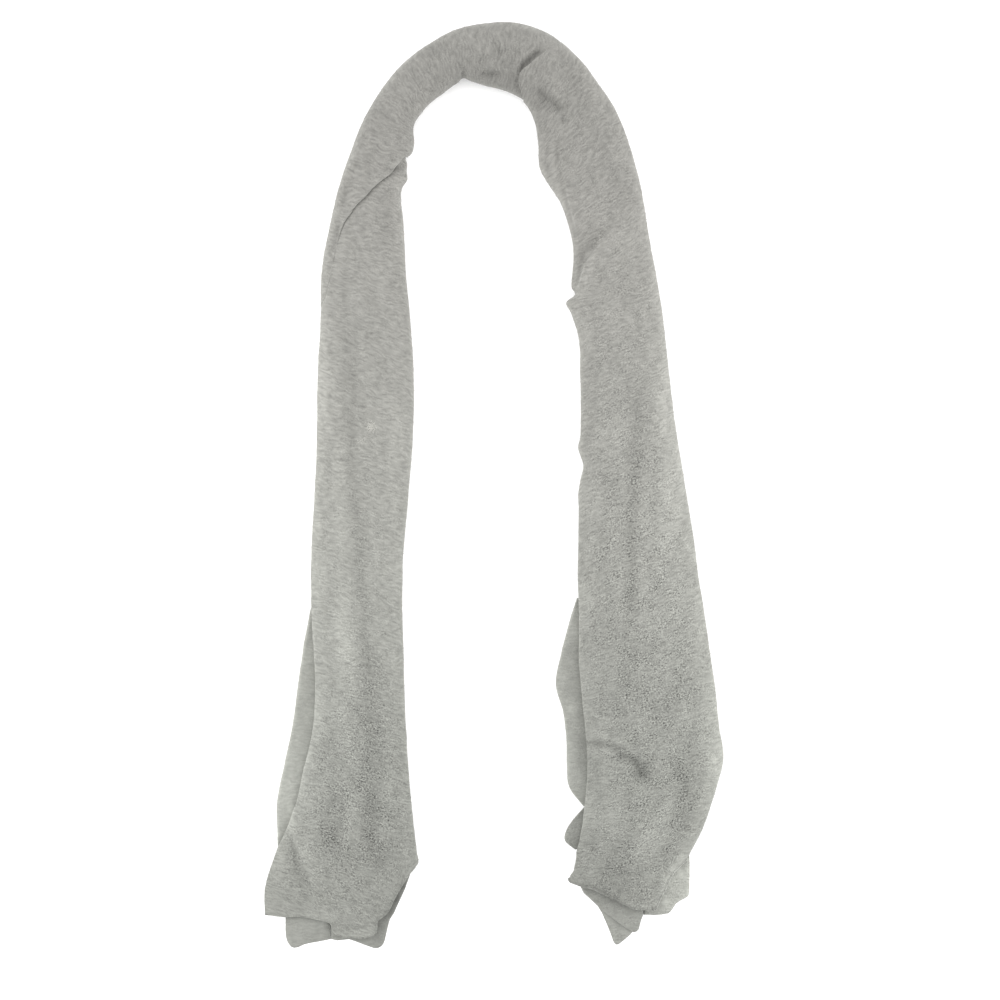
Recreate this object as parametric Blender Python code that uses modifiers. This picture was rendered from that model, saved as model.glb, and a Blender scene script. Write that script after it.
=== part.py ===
"""Cashmere stole: one plain rectangle of felted cloth, gathered along its length and laid down flat in an
upturned U. Each stretch that shows is its own wall of cloth. The folded layers inside are one rounded solid.

Frame: millimetres in the tables, metres in the scene. +Z is up, the stole lies on z = 0, +Y runs from the two
ends up to the neck, and the origin is the middle of the box's base.
"""

import math
from collections import namedtuple

import bpy
import numpy as np

MM = 0.001
NAME = "cashmere_stole"

# Driving dimensions, in mm.
WALL = 1.8  # felted cloth with its nap
LAYER_GAP = 0.8  # between the folded core and a wall
SHEET_GAP = 0.5  # between layers that lie on each other at the ends
FOLD_GAP = 0.8  # between an under fold and the fold above it
TURN_UNDER = math.radians(50)  # how far a wall turns in below its fold
FOOT_INSET = 13.0  # from a fold to the strip of core that lies on the surface
FOOT_STEP = 0.6  # the strip of core reaches this far above the fold's underside
FOOT_ROUND = 0.4  # how far the strip's side bulges
TUCK_DEPTH = 11.5  # how far an under fold runs in below the fold above it
CORE_END = 6.0  # the core stops this far before the last rib at each end
LEFT_TUCK = 22.0  # the left fall runs on this far under the neck roll
RIGHT_TUCK = 16.0  # the neck roll runs on this far under the right fall
PRESS_IN = 2.7  # how far a layer is pressed in where another lies over it
PRESS_EASE = 14.0  # over this length along the stole
PRESS_LEAD = 1.3  # and full this many such lengths before the fold above
CORE_PRESS_IN = 3.4  # how much further in the core lies all along the neck, inside two walls

# One row for each rib across the stole, from the left end round the neck to the right end: where its outer and
# inner fold lie, how high its underside is, how thick its folded side is and how much the middle stands higher.
Rib = namedtuple("Rib", "outer_x outer_y inner_x inner_y base side crown")
RIB_TABLE = [
    # left leg, upwards
    Rib(-216.0, -362, -76.5, -367, 5.5, 7.0, 2.0),
    Rib(-207.5, -344, -79.5, -347, 7.0, 8.5, 2.5),
    Rib(-197.5, -319, -82.5, -319, 7.0, 10.0, 3.0),
    Rib(-190.5, -289, -85.0, -292, 7.0, 11.0, 3.0),
    Rib(-181.5, -249, -87.5, -252, 7.0, 12.0, 3.0),
    Rib(-177.5, -204, -90.0, -207, 7.0, 13.0, 3.0),
    Rib(-179.0, -164, -90.5, -166, 7.0, 14.0, 3.0),
    Rib(-182.5, -120, -91.5, -122, 7.0, 14.0, 3.0),
    Rib(-182.0, -74, -91.5, -74, 5.5, 16.0, 3.0),
    Rib(-179.0, -14, -86.5, -14, 2.5, 19.0, 3.5),
    Rib(-176.5, 46, -82.0, 46, 1.0, 20.0, 4.0),
    Rib(-175.5, 106, -81.0, 106, 1.0, 20.0, 4.0),
    Rib(-172.5, 166, -85.0, 168, 1.0, 21.0, 4.0),
    Rib(-170.5, 211, -89.0, 216, 1.0, 23.0, 4.0),
    Rib(-163.5, 256, -90.5, 260, 1.0, 25.0, 4.0),
    Rib(-154.5, 296, -93.0, 290, 1.0, 27.0, 4.0),
    # neck, clockwise
    Rib(-143.5, 330, -87.5, 312, 1.0, 28.0, 4.0),
    Rib(-130.5, 364, -80.5, 340, 1.0, 29.0, 4.0),
    Rib(-112.0, 396, -78.5, 360, 1.0, 29.0, 4.0),
    Rib(-92.5, 420, -68.0, 378, 1.0, 29.0, 4.0),
    Rib(-68.0, 439, -51.0, 392, 1.0, 29.0, 4.0),
    Rib(-39.0, 455, -30.0, 404, 1.0, 30.0, 4.0),
    Rib(-6.5, 462, -6.5, 399, 1.0, 31.0, 4.0),
    Rib(27.0, 461, 15.0, 393, 1.0, 31.0, 4.0),
    Rib(58.5, 449, 32.5, 382, 1.0, 31.0, 4.0),
    Rib(84.0, 427, 41.5, 364, 1.0, 30.0, 4.0),
    Rib(103.5, 402, 45.5, 340, 1.0, 29.0, 4.0),
    Rib(120.0, 377, 46.5, 318, 1.0, 28.0, 4.0),
    # right leg, downwards
    Rib(134.5, 342, 57.5, 299, 1.0, 27.0, 4.0),
    Rib(143.5, 311, 67.5, 282, 1.0, 26.0, 4.0),
    Rib(149.5, 281, 74.5, 260, 1.0, 25.0, 4.0),
    Rib(156.0, 241, 79.5, 232, 1.0, 24.0, 4.0),
    Rib(161.5, 204, 78.0, 200, 1.0, 23.0, 4.0),
    Rib(167.5, 174, 77.5, 176, 1.0, 22.0, 4.0),
    Rib(171.0, 150, 84.5, 150, 1.0, 22.0, 4.0),
    Rib(174.5, 111, 86.5, 111, 1.0, 21.0, 4.0),
    Rib(179.5, 66, 87.0, 66, 1.0, 20.0, 4.0),
    Rib(186.0, 26, 87.5, 26, 1.0, 20.0, 4.0),
    Rib(191.0, -14, 85.0, -14, 2.5, 19.0, 3.5),
    Rib(197.5, -54, 84.5, -54, 5.0, 17.0, 3.0),
    Rib(203.0, -89, 84.0, -94, 7.0, 15.0, 3.0),
    Rib(208.5, -120, 85.5, -126, 7.0, 14.0, 3.0),
    Rib(214.5, -164, 85.0, -169, 7.0, 14.0, 3.0),
    Rib(220.5, -206, 88.0, -209, 7.0, 14.0, 3.0),
    Rib(225.0, -242, 92.0, -249, 7.0, 13.0, 3.0),
    Rib(229.0, -272, 93.5, -276, 7.0, 12.0, 3.0),
    Rib(225.0, -294, 92.5, -300, 7.0, 11.0, 3.0),
    Rib(217.5, -320, 90.5, -322, 7.0, 10.0, 3.0),
    Rib(208.5, -346, 87.5, -344, 7.0, 8.5, 2.5),
    Rib(197.5, -366, 83.0, -365, 6.0, 7.0, 2.0),
]

# The hem of each fall, from its outer corner (across = 0) to its inner corner (across = 1).
Hem = namedtuple("Hem", "across x y")
LEFT_HEM = [
    Hem(0.00, -228.5, -428),
    Hem(0.10, -208.5, -431),
    Hem(0.20, -193.5, -430),
    Hem(0.32, -175.5, -434),
    Hem(0.40, -162.5, -440),
    Hem(0.45, -155.0, -449),
    Hem(0.55, -139.5, -453),
    Hem(0.65, -123.0, -450),
    Hem(0.71, -116.5, -438),
    Hem(0.78, -103.5, -422),
    Hem(0.88, -91.5, -402),
    Hem(1.00, -75.5, -372),
]
RIGHT_HEM = [
    Hem(0.00, 196.0, -368),
    Hem(0.13, 180.0, -384),
    Hem(0.25, 171.5, -400),
    Hem(0.37, 164.0, -415),
    Hem(0.42, 160.0, -423),
    Hem(0.57, 141.0, -421),
    Hem(0.66, 124.0, -414),
    Hem(0.81, 103.5, -404),
    Hem(0.90, 88.0, -398),
    Hem(1.00, 75.0, -393),
]
LEFT_HEM_HEIGHTS = (2.8, 5.0, 1.0)  # base, side and crown at the hem
RIGHT_HEM_HEIGHTS = (4.4, 5.0, 1.0)
HEM_REACH = 60.0  # from the last rib to the hem, along the stole

# Where one stretch ends on another: at this share of the way across, this far along from the left end's last rib.
Edge = namedtuple("Edge", "across along")
ROLL_EDGE = [  # the roll's fold lies diagonally over the left fall
    Edge(0.00, 546),
    Edge(0.10, 574),
    Edge(0.15, 612),
    Edge(0.26, 636),
    Edge(0.44, 652),
    Edge(0.66, 673),
    Edge(1.00, 707),
]
PINCH_EDGE = [  # the right fall's fold at the pinch lies over the roll
    Edge(0.00, 920),
    Edge(0.20, 915),
    Edge(0.45, 909),
    Edge(0.68, 895),
    Edge(0.88, 896),
    Edge(1.00, 909),
]

# Where the rows of a stretch and the points of its section lie.
MEAN_ROLL_EDGE = 640.0
MEAN_PINCH_EDGE = 908.0
ROLL_SLANT = 170.0  # the rows beside the roll's edge turn square to the stole over this length
PINCH_SLANT = 45.0
HEM_ROWS = [HEM_REACH, 40.0, 20.0]  # beyond the last rib
PRESS_ROWS = [-18.0, -2.0]  # beside a fold that lies over the stretch
ROW_CLEAR = 9.0
TIGHT_BEND_ROWS = [925.0, 952.0]  # more rows of core, inside the neck where it turns down
SIDE_STEPS = 4  # round each fold
FALL_STEPS = 10  # over the top of a fall
ROLL_STEPS = 6  # over the top of the roll and of the core
FOLD_STEPS = 4  # round an under fold
BACK_ROWS = 7
BACK_COLUMNS = 13

# The cloth's greys, as linear red, green and blue.
FACE_GREY = (0.42, 0.42, 0.395)
ROLL_GREY = (0.37, 0.37, 0.35)
FOLD_GREY = (0.45, 0.45, 0.42)
INNER_GREY = (0.35, 0.35, 0.33)

# How far an under fold shows beyond the fold above it.
Peek = namedtuple("Peek", "along beyond")
LEFT_UNDER_PEEK = [
    Peek(8, 3.5),
    Peek(20, 9.0),
    Peek(46, 19.0),
    Peek(74, 20.0),
    Peek(115, 21.0),
    Peek(160, 18.0),
    Peek(200, 9.5),
    Peek(244, 0.5),
]
RIGHT_UNDER_PEEK = [
    Peek(1453, 0.5),
    Peek(1469, 6.5),
    Peek(1512, 18.5),
    Peek(1541, 25.0),
    Peek(1565, 20.5),
    Peek(1592, 19.5),
    Peek(1620, 20.0),
    Peek(1644, 15.0),
    Peek(1664, 1.0),
]
RIGHT_TUCK_PEEK = [
    Peek(1667, 0.5),
    Peek(1680, 10.5),
    Peek(1697, 13.5),
    Peek(1708, 7.0),
]

# The hems of the back layers, which lie flat at the ends.
LEFT_BACK_OUTER_HEM = [
    Hem(0.00, -208.0, -445),
    Hem(0.12, -206.5, -456),
    Hem(0.25, -202.0, -462),
    Hem(0.40, -195.5, -461),
    Hem(0.70, -180.0, -456),
    Hem(1.00, -163.3, -452),
]
LEFT_BACK_INNER_HEM = [
    Hem(0.00, -162.5, -453),
    Hem(0.15, -154.0, -454),
    Hem(0.35, -143.0, -453),
    Hem(0.60, -127.5, -459),
    Hem(0.76, -119.5, -462),
    Hem(0.86, -113.5, -461),
    Hem(0.94, -108.5, -455),
    Hem(1.00, -105.5, -441),
]
RIGHT_SIDE_HEM = [
    Hem(0.00, 196.0, -406),
    Hem(0.12, 192.0, -412),
    Hem(0.28, 184.0, -416),
    Hem(0.45, 177.5, -425),
    Hem(0.65, 168.0, -429),
    Hem(1.00, 150.0, -429),
]
RIGHT_TIP_UPPER_HEM = [
    Hem(0.00, 149.5, -428),
    Hem(0.15, 147.0, -436),
    Hem(0.25, 143.5, -444),
    Hem(0.33, 138.5, -445),
    Hem(0.60, 124.5, -436),
    Hem(0.80, 108.5, -424),
    Hem(1.00, 90.5, -406),
]
RIGHT_TIP_LOWER_HEM = [
    Hem(0.00, 138.5, -443),
    Hem(0.20, 134.5, -450),
    Hem(0.45, 128.0, -456),
    Hem(0.60, 124.0, -459),
    Hem(0.70, 120.5, -457),
    Hem(0.85, 115.0, -442),
    Hem(1.00, 108.5, -428),
]


# The stole's plan and heights.
RIBS = np.array(RIB_TABLE, float)
MIDDLES = (RIBS[:, 0:2] + RIBS[:, 2:4]) / 2
STEPS = np.linalg.norm(np.diff(MIDDLES, axis=0), axis=1)
ALONG = np.concatenate([[0.0], np.cumsum(STEPS)])
END = ALONG[-1]


def smooth(xs, ys, x):
    """Smooth curve through the rows (xs, ys), read at x, with the slope at a row taken from its neighbours."""
    xs, ys = np.asarray(xs, float), np.asarray(ys, float)
    x = np.clip(x, xs[0], xs[-1])
    slopes = np.gradient(ys, xs, axis=0, edge_order=1)
    row = np.clip(np.searchsorted(xs, x, side="right") - 1, 0, len(xs) - 2)
    step = xs[row + 1] - xs[row]
    t = (x - xs[row]) / step
    start = (1 + 2 * t) * (1 - t) ** 2 * ys[row] + t * (1 - t) ** 2 * step * slopes[row]
    end = t**2 * (3 - 2 * t) * ys[row + 1] + t**2 * (t - 1) * step * slopes[row + 1]
    return start + end


def hem_point(hem, across):
    """The hem's place at this share of the way across."""
    shares = [row.across for row in hem]
    return np.array([np.interp(across, shares, [row.x for row in hem]),
                     np.interp(across, shares, [row.y for row in hem])])


def rib_at(along):
    """The rib this far along: its outer and inner fold, base, side and crown. Past an end it nears the hem."""
    rib = smooth(ALONG, RIBS, along)
    if 0 <= along <= END:
        return rib
    hem, heights = (LEFT_HEM, LEFT_HEM_HEIGHTS) if along < 0 else (RIGHT_HEM, RIGHT_HEM_HEIGHTS)
    share = (-along if along < 0 else along - END) / HEM_REACH
    last = np.concatenate([hem_point(hem, 0), hem_point(hem, 1), heights])
    return rib + (last - rib) * share


def plan(along, across):
    """A place on the stole in plan, this far along and this share of the way from the outer fold to the inner."""
    rib = smooth(ALONG, RIBS, along)
    straight = rib[0:2] + (rib[2:4] - rib[0:2]) * across
    if 0 <= along <= END:
        return straight
    hem = LEFT_HEM if along < 0 else RIGHT_HEM
    share = (-along if along < 0 else along - END) / HEM_REACH
    return straight + (hem_point(hem, across) - straight) * share


def edge_along(edge, across):
    """How far along an edge table's fold lies at this share of the way across."""
    return float(smooth([row.across for row in edge], [row.along for row in edge], across))


def width_of(rib):
    return math.hypot(rib[2] - rib[0], rib[3] - rib[1])


def ease(x):
    """0 up to x = 0, 1 from x = 1, and smooth between."""
    x = min(max(x, 0.0), 1.0)
    return x * x * (3 - 2 * x)


# Across a section. Each point is a place between the folds (share of the width, share of the side's radius), a
# lift in radii and a share of the crown, so that one profile serves every rib.
Across = namedtuple("Across", "of_width of_radius lift of_crown")


def profile(turn_under, side_steps, top_steps):
    """The section from below the outer fold, round it, over the top, round the inner fold and in below that."""
    angles = np.linspace(-turn_under, math.pi / 2, side_steps + 1)[:-1]
    outer = [Across(0.0, 1 - math.cos(a), 1 + math.sin(a), 0.0) for a in angles]
    shares = np.linspace(0, 1, top_steps + 1)
    top = [Across(k, 1 - 2 * k, 2.0, 4 * k * (1 - k)) for k in shares]
    inner = [Across(1.0, -p.of_radius, p.lift, 0.0) for p in reversed(outer)]
    return outer + top + inner


def section_point(along, point, inset):
    """The profile's point on the section this far along, moved in by inset. Gives x, y, z in mm."""
    rib = rib_at(along)
    width = width_of(rib)
    base, side, crown = rib[4:7]
    radius = side / 2 - inset
    lateral = inset + point.of_width * (width - 2 * inset) + point.of_radius * radius
    x, y = plan(along, lateral / width)
    return x, y, base + inset + point.lift * radius + point.of_crown * crown


def edge_share(along, point):
    """The share of the way across that a profile point has for an edge table: 0 or 1 from the folds down."""
    if point.lift < 1:
        return point.of_width
    rib = rib_at(along)
    side_radius = rib[5] / 2
    return point.of_width + point.of_radius * side_radius / width_of(rib)


# Objects.


def clear_scene():
    for thing in list(bpy.data.objects):
        bpy.data.objects.remove(thing, do_unlink=True)


def cashmere(name, colour):
    """Felted cashmere: matt, with the soft light edge that its nap gives."""
    material = bpy.data.materials.new(name)
    material.use_nodes = True
    shader = material.node_tree.nodes["Principled BSDF"]
    shader.inputs["Base Color"].default_value = (*colour, 1.0)
    shader.inputs["Roughness"].default_value = 0.95
    shader.inputs["Metallic"].default_value = 0.0
    shader.inputs["Sheen Weight"].default_value = 0.4
    return material


def add_mesh(name, points, faces, collection, colour):
    """An object from points in mm and faces."""
    mesh = bpy.data.meshes.new(name)
    mesh.from_pydata([(x * MM, y * MM, z * MM) for x, y, z in points], [], faces)
    mesh.validate()
    mesh.shade_smooth()
    thing = bpy.data.objects.new(name, mesh)
    thing.data.materials.append(cashmere(name + "_cloth", colour))
    collection.objects.link(thing)
    return thing


def grid_faces(rows, columns, closed=False):
    """Quads of a grid of points; closed joins each row's last point to its first."""
    faces = []
    for r in range(rows - 1):
        for c in range(columns if closed else columns - 1):
            a, b = r * columns + c, r * columns + (c + 1) % columns
            faces.append((a, b, b + columns, a + columns))
    return faces


def thicken(thing):
    """Gives an open sheet the cloth's thickness, on the side away from its normals."""
    solidify = thing.modifiers.new("cloth thickness", "SOLIDIFY")
    solidify.thickness = WALL * MM
    solidify.offset = -1.0
    solidify.use_even_offset = True
    return thing


def stretch_rows(*own):
    """A stretch's nominal rows: its own, from its first to its last, and the ribs between that stay clear."""
    ribs = [along for along in ALONG if own[0] < along < own[-1]]
    clear = [along for along in ribs if min(abs(along - row) for row in own) > ROW_CLEAR]
    return sorted([*own, *clear])


def slanted(rows, begin, finish, ease_in, ease_out):
    """The rows of one column, drawn out to where the stretch begins and finishes there."""
    into = [(begin - rows[0]) * (1 - ease((row - rows[0]) / ease_in)) for row in rows]
    out = [(finish - rows[-1]) * (1 - ease((rows[-1] - row) / ease_out)) for row in rows]
    return [row + a + b for row, a, b in zip(rows, into, out)]


def add_stretch(name, across, rows, start, stop, eases, inset, collection, colour):
    """A stretch of the stole's outer cloth, along rows. start and stop give how far along it begins and ends at
    each share across, and inset how far it is pressed in at a place."""
    columns = []
    for point in across:
        begin = start(edge_share(rows[0], point))
        finish = stop(edge_share(rows[-1], point))
        alongs = slanted(rows, begin, finish, *eases)
        columns.append([section_point(along, point, inset(along, edge_share(along, point)))
                        for along in alongs])
    points = [column[row] for row in range(len(rows)) for column in columns]
    return thicken(add_mesh(name, points, grid_faces(len(rows), len(across)), collection, colour))


def add_core(name, rows, inset, collection, colour):
    """The folded layers inside, as one solid with a flat foot, whose sides are layered."""
    upper = profile(TURN_UNDER, SIDE_STEPS, ROLL_STEPS)
    points = []
    for along in rows:
        rib = rib_at(along)
        step = rib[4] + FOOT_STEP
        foot = [(FOOT_INSET, step), (FOOT_INSET - FOOT_ROUND, step / 2), (FOOT_INSET, 0.0)]
        foot = [(near / width_of(rib), z) for near, z in foot]
        points += [(*plan(along, share), z) for share, z in reversed(foot)]
        points += [section_point(along, point, inset(along)) for point in upper]
        points += [(*plan(along, 1 - share), z) for share, z in foot]
    columns = len(points) // len(rows)
    faces = grid_faces(len(rows), columns, closed=True)
    faces.append(tuple(range(columns))[::-1])
    faces.append(tuple(range((len(rows) - 1) * columns, len(rows) * columns)))
    return add_mesh(name, points, faces, collection, colour)


def add_under_fold(name, peeks, from_inner, rows, collection, colour):
    """A folded edge that shows beyond the fold above it: two layers, joined at the fold."""
    alongs = [row.along for row in peeks]
    beyonds = [row.beyond for row in peeks]
    angles = np.linspace(math.pi / 2, -math.pi / 2, FOLD_STEPS + 1)
    points = []
    for along in np.linspace(alongs[0], alongs[-1], rows):
        rib = rib_at(along)
        radius = (rib[4] - FOLD_GAP) / 2
        fold = radius - max(float(smooth(alongs, beyonds, along)), 0.0)
        flat = [TUCK_DEPTH, (TUCK_DEPTH + fold) / 2]
        places = [(near, 2 * radius) for near in flat]
        places += [(fold - radius * math.cos(a), radius * (1 + math.sin(a))) for a in angles]
        places += [(near, 0.0) for near in reversed(flat)]
        for near, z in places:
            share = near / width_of(rib)
            points.append((*plan(along, 1 - share if from_inner else share), z))
    faces = grid_faces(rows, len(points) // rows)
    if not from_inner:
        faces = [face[::-1] for face in faces]
    return thicken(add_mesh(name, points, faces, collection, colour))


BackLayer = namedtuple("BackLayer", "name begin shares outer_side inner_side hem level colour")


def side_at(side, place):
    """A place on a back layer's side, from where it begins (0) to its hem (1)."""
    stations = np.linspace(0, 1, len(side))
    return np.array([np.interp(place, stations, [point[k] for point in side]) for k in (0, 1)])


def add_back_layer(layer, collection):
    """A back layer that lies flat at an end. It begins just past the core, between two shares of the way
    across, runs between its two sides and ends in its hem."""
    corners = hem_point(layer.hem, 0), hem_point(layer.hem, 1)
    outer = [plan(layer.begin, layer.shares[0]), *layer.outer_side, corners[0]]
    inner = [plan(layer.begin, layer.shares[1]), *layer.inner_side, corners[1]]
    points = []
    for place in np.linspace(0, 1, BACK_ROWS):
        near, far = side_at(outer, place), side_at(inner, place)
        for share in np.linspace(0, 1, BACK_COLUMNS):
            chord = corners[0] + (corners[1] - corners[0]) * share
            bow = (hem_point(layer.hem, share) - chord) * place**2
            x, y = near + (far - near) * share + bow
            points.append((x, y, layer.level + WALL))
    faces = grid_faces(BACK_ROWS, BACK_COLUMNS)
    if layer.begin < END / 2:
        faces = [face[::-1] for face in faces]
    return thicken(add_mesh(layer.name, points, faces, collection, layer.colour))


# Where layers are pressed in under the one above.


def left_press(along, share):
    return PRESS_IN * ease((along - edge_along(ROLL_EDGE, share)) / PRESS_EASE + PRESS_LEAD)


def roll_press(along, share):
    return PRESS_IN * ease((along - edge_along(PINCH_EDGE, share)) / PRESS_EASE + PRESS_LEAD)


def core_inset(along):
    """Inside one wall, or inside two walls from one end of the neck roll to the other."""
    low, high = ROLL_EDGE[0].along, PINCH_EDGE[0].along + RIGHT_TUCK
    neck = ease((along - low) / PRESS_EASE + 2) * ease((high - along) / PRESS_EASE + 2)
    return WALL + LAYER_GAP + CORE_PRESS_IN * neck


def not_pressed(along, share):
    return 0.0


# The pieces.


def add_core_and_falls(collection):
    wall = profile(TURN_UNDER, SIDE_STEPS, FALL_STEPS)
    roll = profile(TURN_UNDER, SIDE_STEPS, ROLL_STEPS)
    add_core("hidden_layers", stretch_rows(CORE_END, *TIGHT_BEND_ROWS, END - CORE_END), core_inset,
             collection, INNER_GREY)

    rows = stretch_rows(*[-row for row in HEM_ROWS], *[MEAN_ROLL_EDGE + row for row in PRESS_ROWS],
                        MEAN_ROLL_EDGE + LEFT_TUCK)
    add_stretch("left_fall", wall, rows, lambda share: -HEM_REACH,
                lambda share: edge_along(ROLL_EDGE, share) + LEFT_TUCK, (HEM_REACH, ROLL_SLANT),
                left_press, collection, FACE_GREY)

    rows = stretch_rows(MEAN_ROLL_EDGE, *[MEAN_PINCH_EDGE + row for row in PRESS_ROWS],
                        MEAN_PINCH_EDGE + RIGHT_TUCK)
    add_stretch("neck_roll", roll, rows, lambda share: edge_along(ROLL_EDGE, share),
                lambda share: edge_along(PINCH_EDGE, share) + RIGHT_TUCK, (ROLL_SLANT, PINCH_SLANT),
                roll_press, collection, ROLL_GREY)

    rows = stretch_rows(MEAN_PINCH_EDGE, *[END + row for row in reversed(HEM_ROWS)])
    add_stretch("right_fall", wall, rows, lambda share: edge_along(PINCH_EDGE, share),
                lambda share: END + HEM_REACH, (PINCH_SLANT, HEM_REACH), not_pressed, collection, FACE_GREY)


def add_under_folds(collection):
    add_under_fold("left_under_fold", LEFT_UNDER_PEEK, False, 10, collection, FOLD_GREY)
    add_under_fold("right_under_fold", RIGHT_UNDER_PEEK, True, 11, collection, FOLD_GREY)
    add_under_fold("right_tuck", RIGHT_TUCK_PEEK, True, 7, collection, INNER_GREY)


def add_back_layers(collection):
    left = CORE_END - SHEET_GAP
    right = END - CORE_END + SHEET_GAP
    layers = [
        BackLayer("left_back_outer", left, (0.10, 0.375), [(-205, -400)], [(-163.3, -400)],
                  LEFT_BACK_OUTER_HEM, 0.0, INNER_GREY),
        BackLayer("left_back_inner", left, (0.384, 0.93), [(-162.5, -380), (-162.5, -410), (-162.5, -426)],
                  [(-84.5, -388), (-95.0, -413), (-102.5, -428)], LEFT_BACK_INNER_HEM, 0.0, INNER_GREY),
        BackLayer("right_side_layer", right, (0.06, 0.40), [(195.5, -385)], [(150.0, -395)],
                  RIGHT_SIDE_HEM, 0.0, FOLD_GREY),
        BackLayer("right_tip_upper", right, (0.41, 0.90), [(150.5, -395)], [(80.5, -388)],
                  RIGHT_TIP_UPPER_HEM, WALL + SHEET_GAP, INNER_GREY),
        BackLayer("right_tip_lower", right, (0.45, 0.85), [(140.0, -400)], [(97.0, -400)],
                  RIGHT_TIP_LOWER_HEM, 0.0, FOLD_GREY),
    ]
    for layer in layers:
        add_back_layer(layer, collection)


def build():
    clear_scene()
    stole = bpy.data.collections.new(NAME)
    bpy.context.scene.collection.children.link(stole)
    add_core_and_falls(stole)
    add_under_folds(stole)
    add_back_layers(stole)


build()
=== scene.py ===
# %% [markdown]
# # A cashmere stole, laid flat
# A stole is one plain rectangle of very light felted cashmere. Here it is gathered along its length into a
# soft rope, laid down in an upturned U, and its two ends are smoothed out so that they fan and overlap.
#
# Such a thing could be draped by a cloth simulation, but a heap of eight layers that rub on each other takes
# long to settle and never lies twice in the same folds. A tailor would describe it another way: a row of
# sections across the stole, each with its width, its height and the height of its underside. This lesson
# does that. One table of ribs gives every surface, short tables of creases and lips are pressed into it, and
# noise that follows the cloth gives the felt its crinkle.
#
# Lengths in the tables are in millimetres, as a maker would take them. Meshes are in metres.

import math
from collections import namedtuple

import bpy
import numpy as np
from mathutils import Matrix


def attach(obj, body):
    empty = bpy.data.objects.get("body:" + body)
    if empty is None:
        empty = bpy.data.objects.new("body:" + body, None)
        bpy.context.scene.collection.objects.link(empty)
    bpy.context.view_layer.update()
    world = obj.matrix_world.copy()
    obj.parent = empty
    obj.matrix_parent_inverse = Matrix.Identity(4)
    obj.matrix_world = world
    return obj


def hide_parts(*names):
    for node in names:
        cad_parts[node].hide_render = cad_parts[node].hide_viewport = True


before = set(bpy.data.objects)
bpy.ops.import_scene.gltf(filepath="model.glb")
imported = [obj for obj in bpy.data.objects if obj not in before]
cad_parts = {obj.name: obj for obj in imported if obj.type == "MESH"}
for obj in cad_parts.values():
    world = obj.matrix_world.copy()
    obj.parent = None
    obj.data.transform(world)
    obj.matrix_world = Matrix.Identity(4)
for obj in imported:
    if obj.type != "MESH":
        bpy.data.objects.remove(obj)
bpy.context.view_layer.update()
MM = 0.001

# %% [markdown]
# # Table, camera and light
# The stole lies on a pale table and the camera looks straight down on it through a long lens, so that the
# two ends are drawn at the same scale as the neck. Two wide soft boxes stand left and right of the table.
# They light the rounded sides of each leg a little more than its flat top, which is what makes the edges of a
# napped cloth glow. The room itself gives the rest of the light.

# %% The table top
TABLE_SIDE = 8.0
BOARD_COLOUR = "FDFDFD"


def srgb(hex_colour):
    """A colour written as RRGGBB, as the linear red, green, blue and alpha that the shaders use."""
    channels = [int(hex_colour[i:i + 2], 16) / 255 for i in (0, 2, 4)]
    linear = [c / 12.92 if c <= 0.04045 else ((c + 0.055) / 1.055) ** 2.4 for c in channels]
    return (*linear, 1.0)


def link_to_scene(name, data):
    """An object of this name with this mesh, lamp or camera, in the scene."""
    thing = bpy.data.objects.new(name, data)
    bpy.context.scene.collection.objects.link(thing)
    return thing


def table_top(side):
    """A board of matt white lacquer, which gives no shine and hardly any tint."""
    half = side / 2
    corners = [(-half, -half, 0), (half, -half, 0), (half, half, 0), (-half, half, 0)]
    mesh = bpy.data.meshes.new("table_top")
    mesh.from_pydata(corners, [], [(0, 1, 2, 3)])
    material = bpy.data.materials.new("white_lacquered_board")
    material.use_nodes = True
    shader = material.node_tree.nodes["Principled BSDF"]
    shader.inputs["Base Color"].default_value = srgb(BOARD_COLOUR)
    shader.inputs["Roughness"].default_value = 0.85
    shader.inputs["Specular IOR Level"].default_value = 0.1
    mesh.materials.append(material)
    return link_to_scene("table_top", mesh)


table_top(TABLE_SIDE)
print("table top", TABLE_SIDE, "m square")

# %% The camera
CAMERA_HEIGHT = 3.6
VIEW_WIDTH = 1.0  # metres of table across the picture
VIEW_CENTRE = (0.0065, -0.014)
SENSOR = 36.0
FARTHEST_SEEN = 50

camera = bpy.data.cameras.new("camera")
camera.sensor_width = SENSOR
camera.lens = SENSOR * CAMERA_HEIGHT / VIEW_WIDTH
camera.clip_end = FARTHEST_SEEN
camera_object = link_to_scene("camera", camera)
camera_object.location = (*VIEW_CENTRE, CAMERA_HEIGHT)
bpy.context.scene.camera = camera_object
bpy.context.scene.view_settings.view_transform = "Standard"
print("camera lens", round(camera.lens, 1), "mm at", CAMERA_HEIGHT, "m")

# %% The room and its two soft boxes
ROOM_LIGHT = 1.5
SOFT_BOX_ASIDE, SOFT_BOX_UP = 2.2, 0.9
SOFT_BOX_SIZE = (2.4, 1.2)
SOFT_BOX_POWER = 50


def soft_box(name, place, size, power):
    """A rectangular lamp at a place, turned to the middle of the table."""
    lamp = bpy.data.lights.new(name, "AREA")
    lamp.shape = "RECTANGLE"
    lamp.size, lamp.size_y = size
    lamp.energy = power
    thing = link_to_scene(name, lamp)
    thing.location = place
    towards = -thing.location
    thing.rotation_euler = towards.to_track_quat("-Z", "Y").to_euler()
    return thing


world = bpy.data.worlds.new("studio")
world.use_nodes = True
background = world.node_tree.nodes["Background"]
background.inputs["Color"].default_value = (1, 1, 1, 1)
background.inputs["Strength"].default_value = ROOM_LIGHT
bpy.context.scene.world = world

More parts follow.
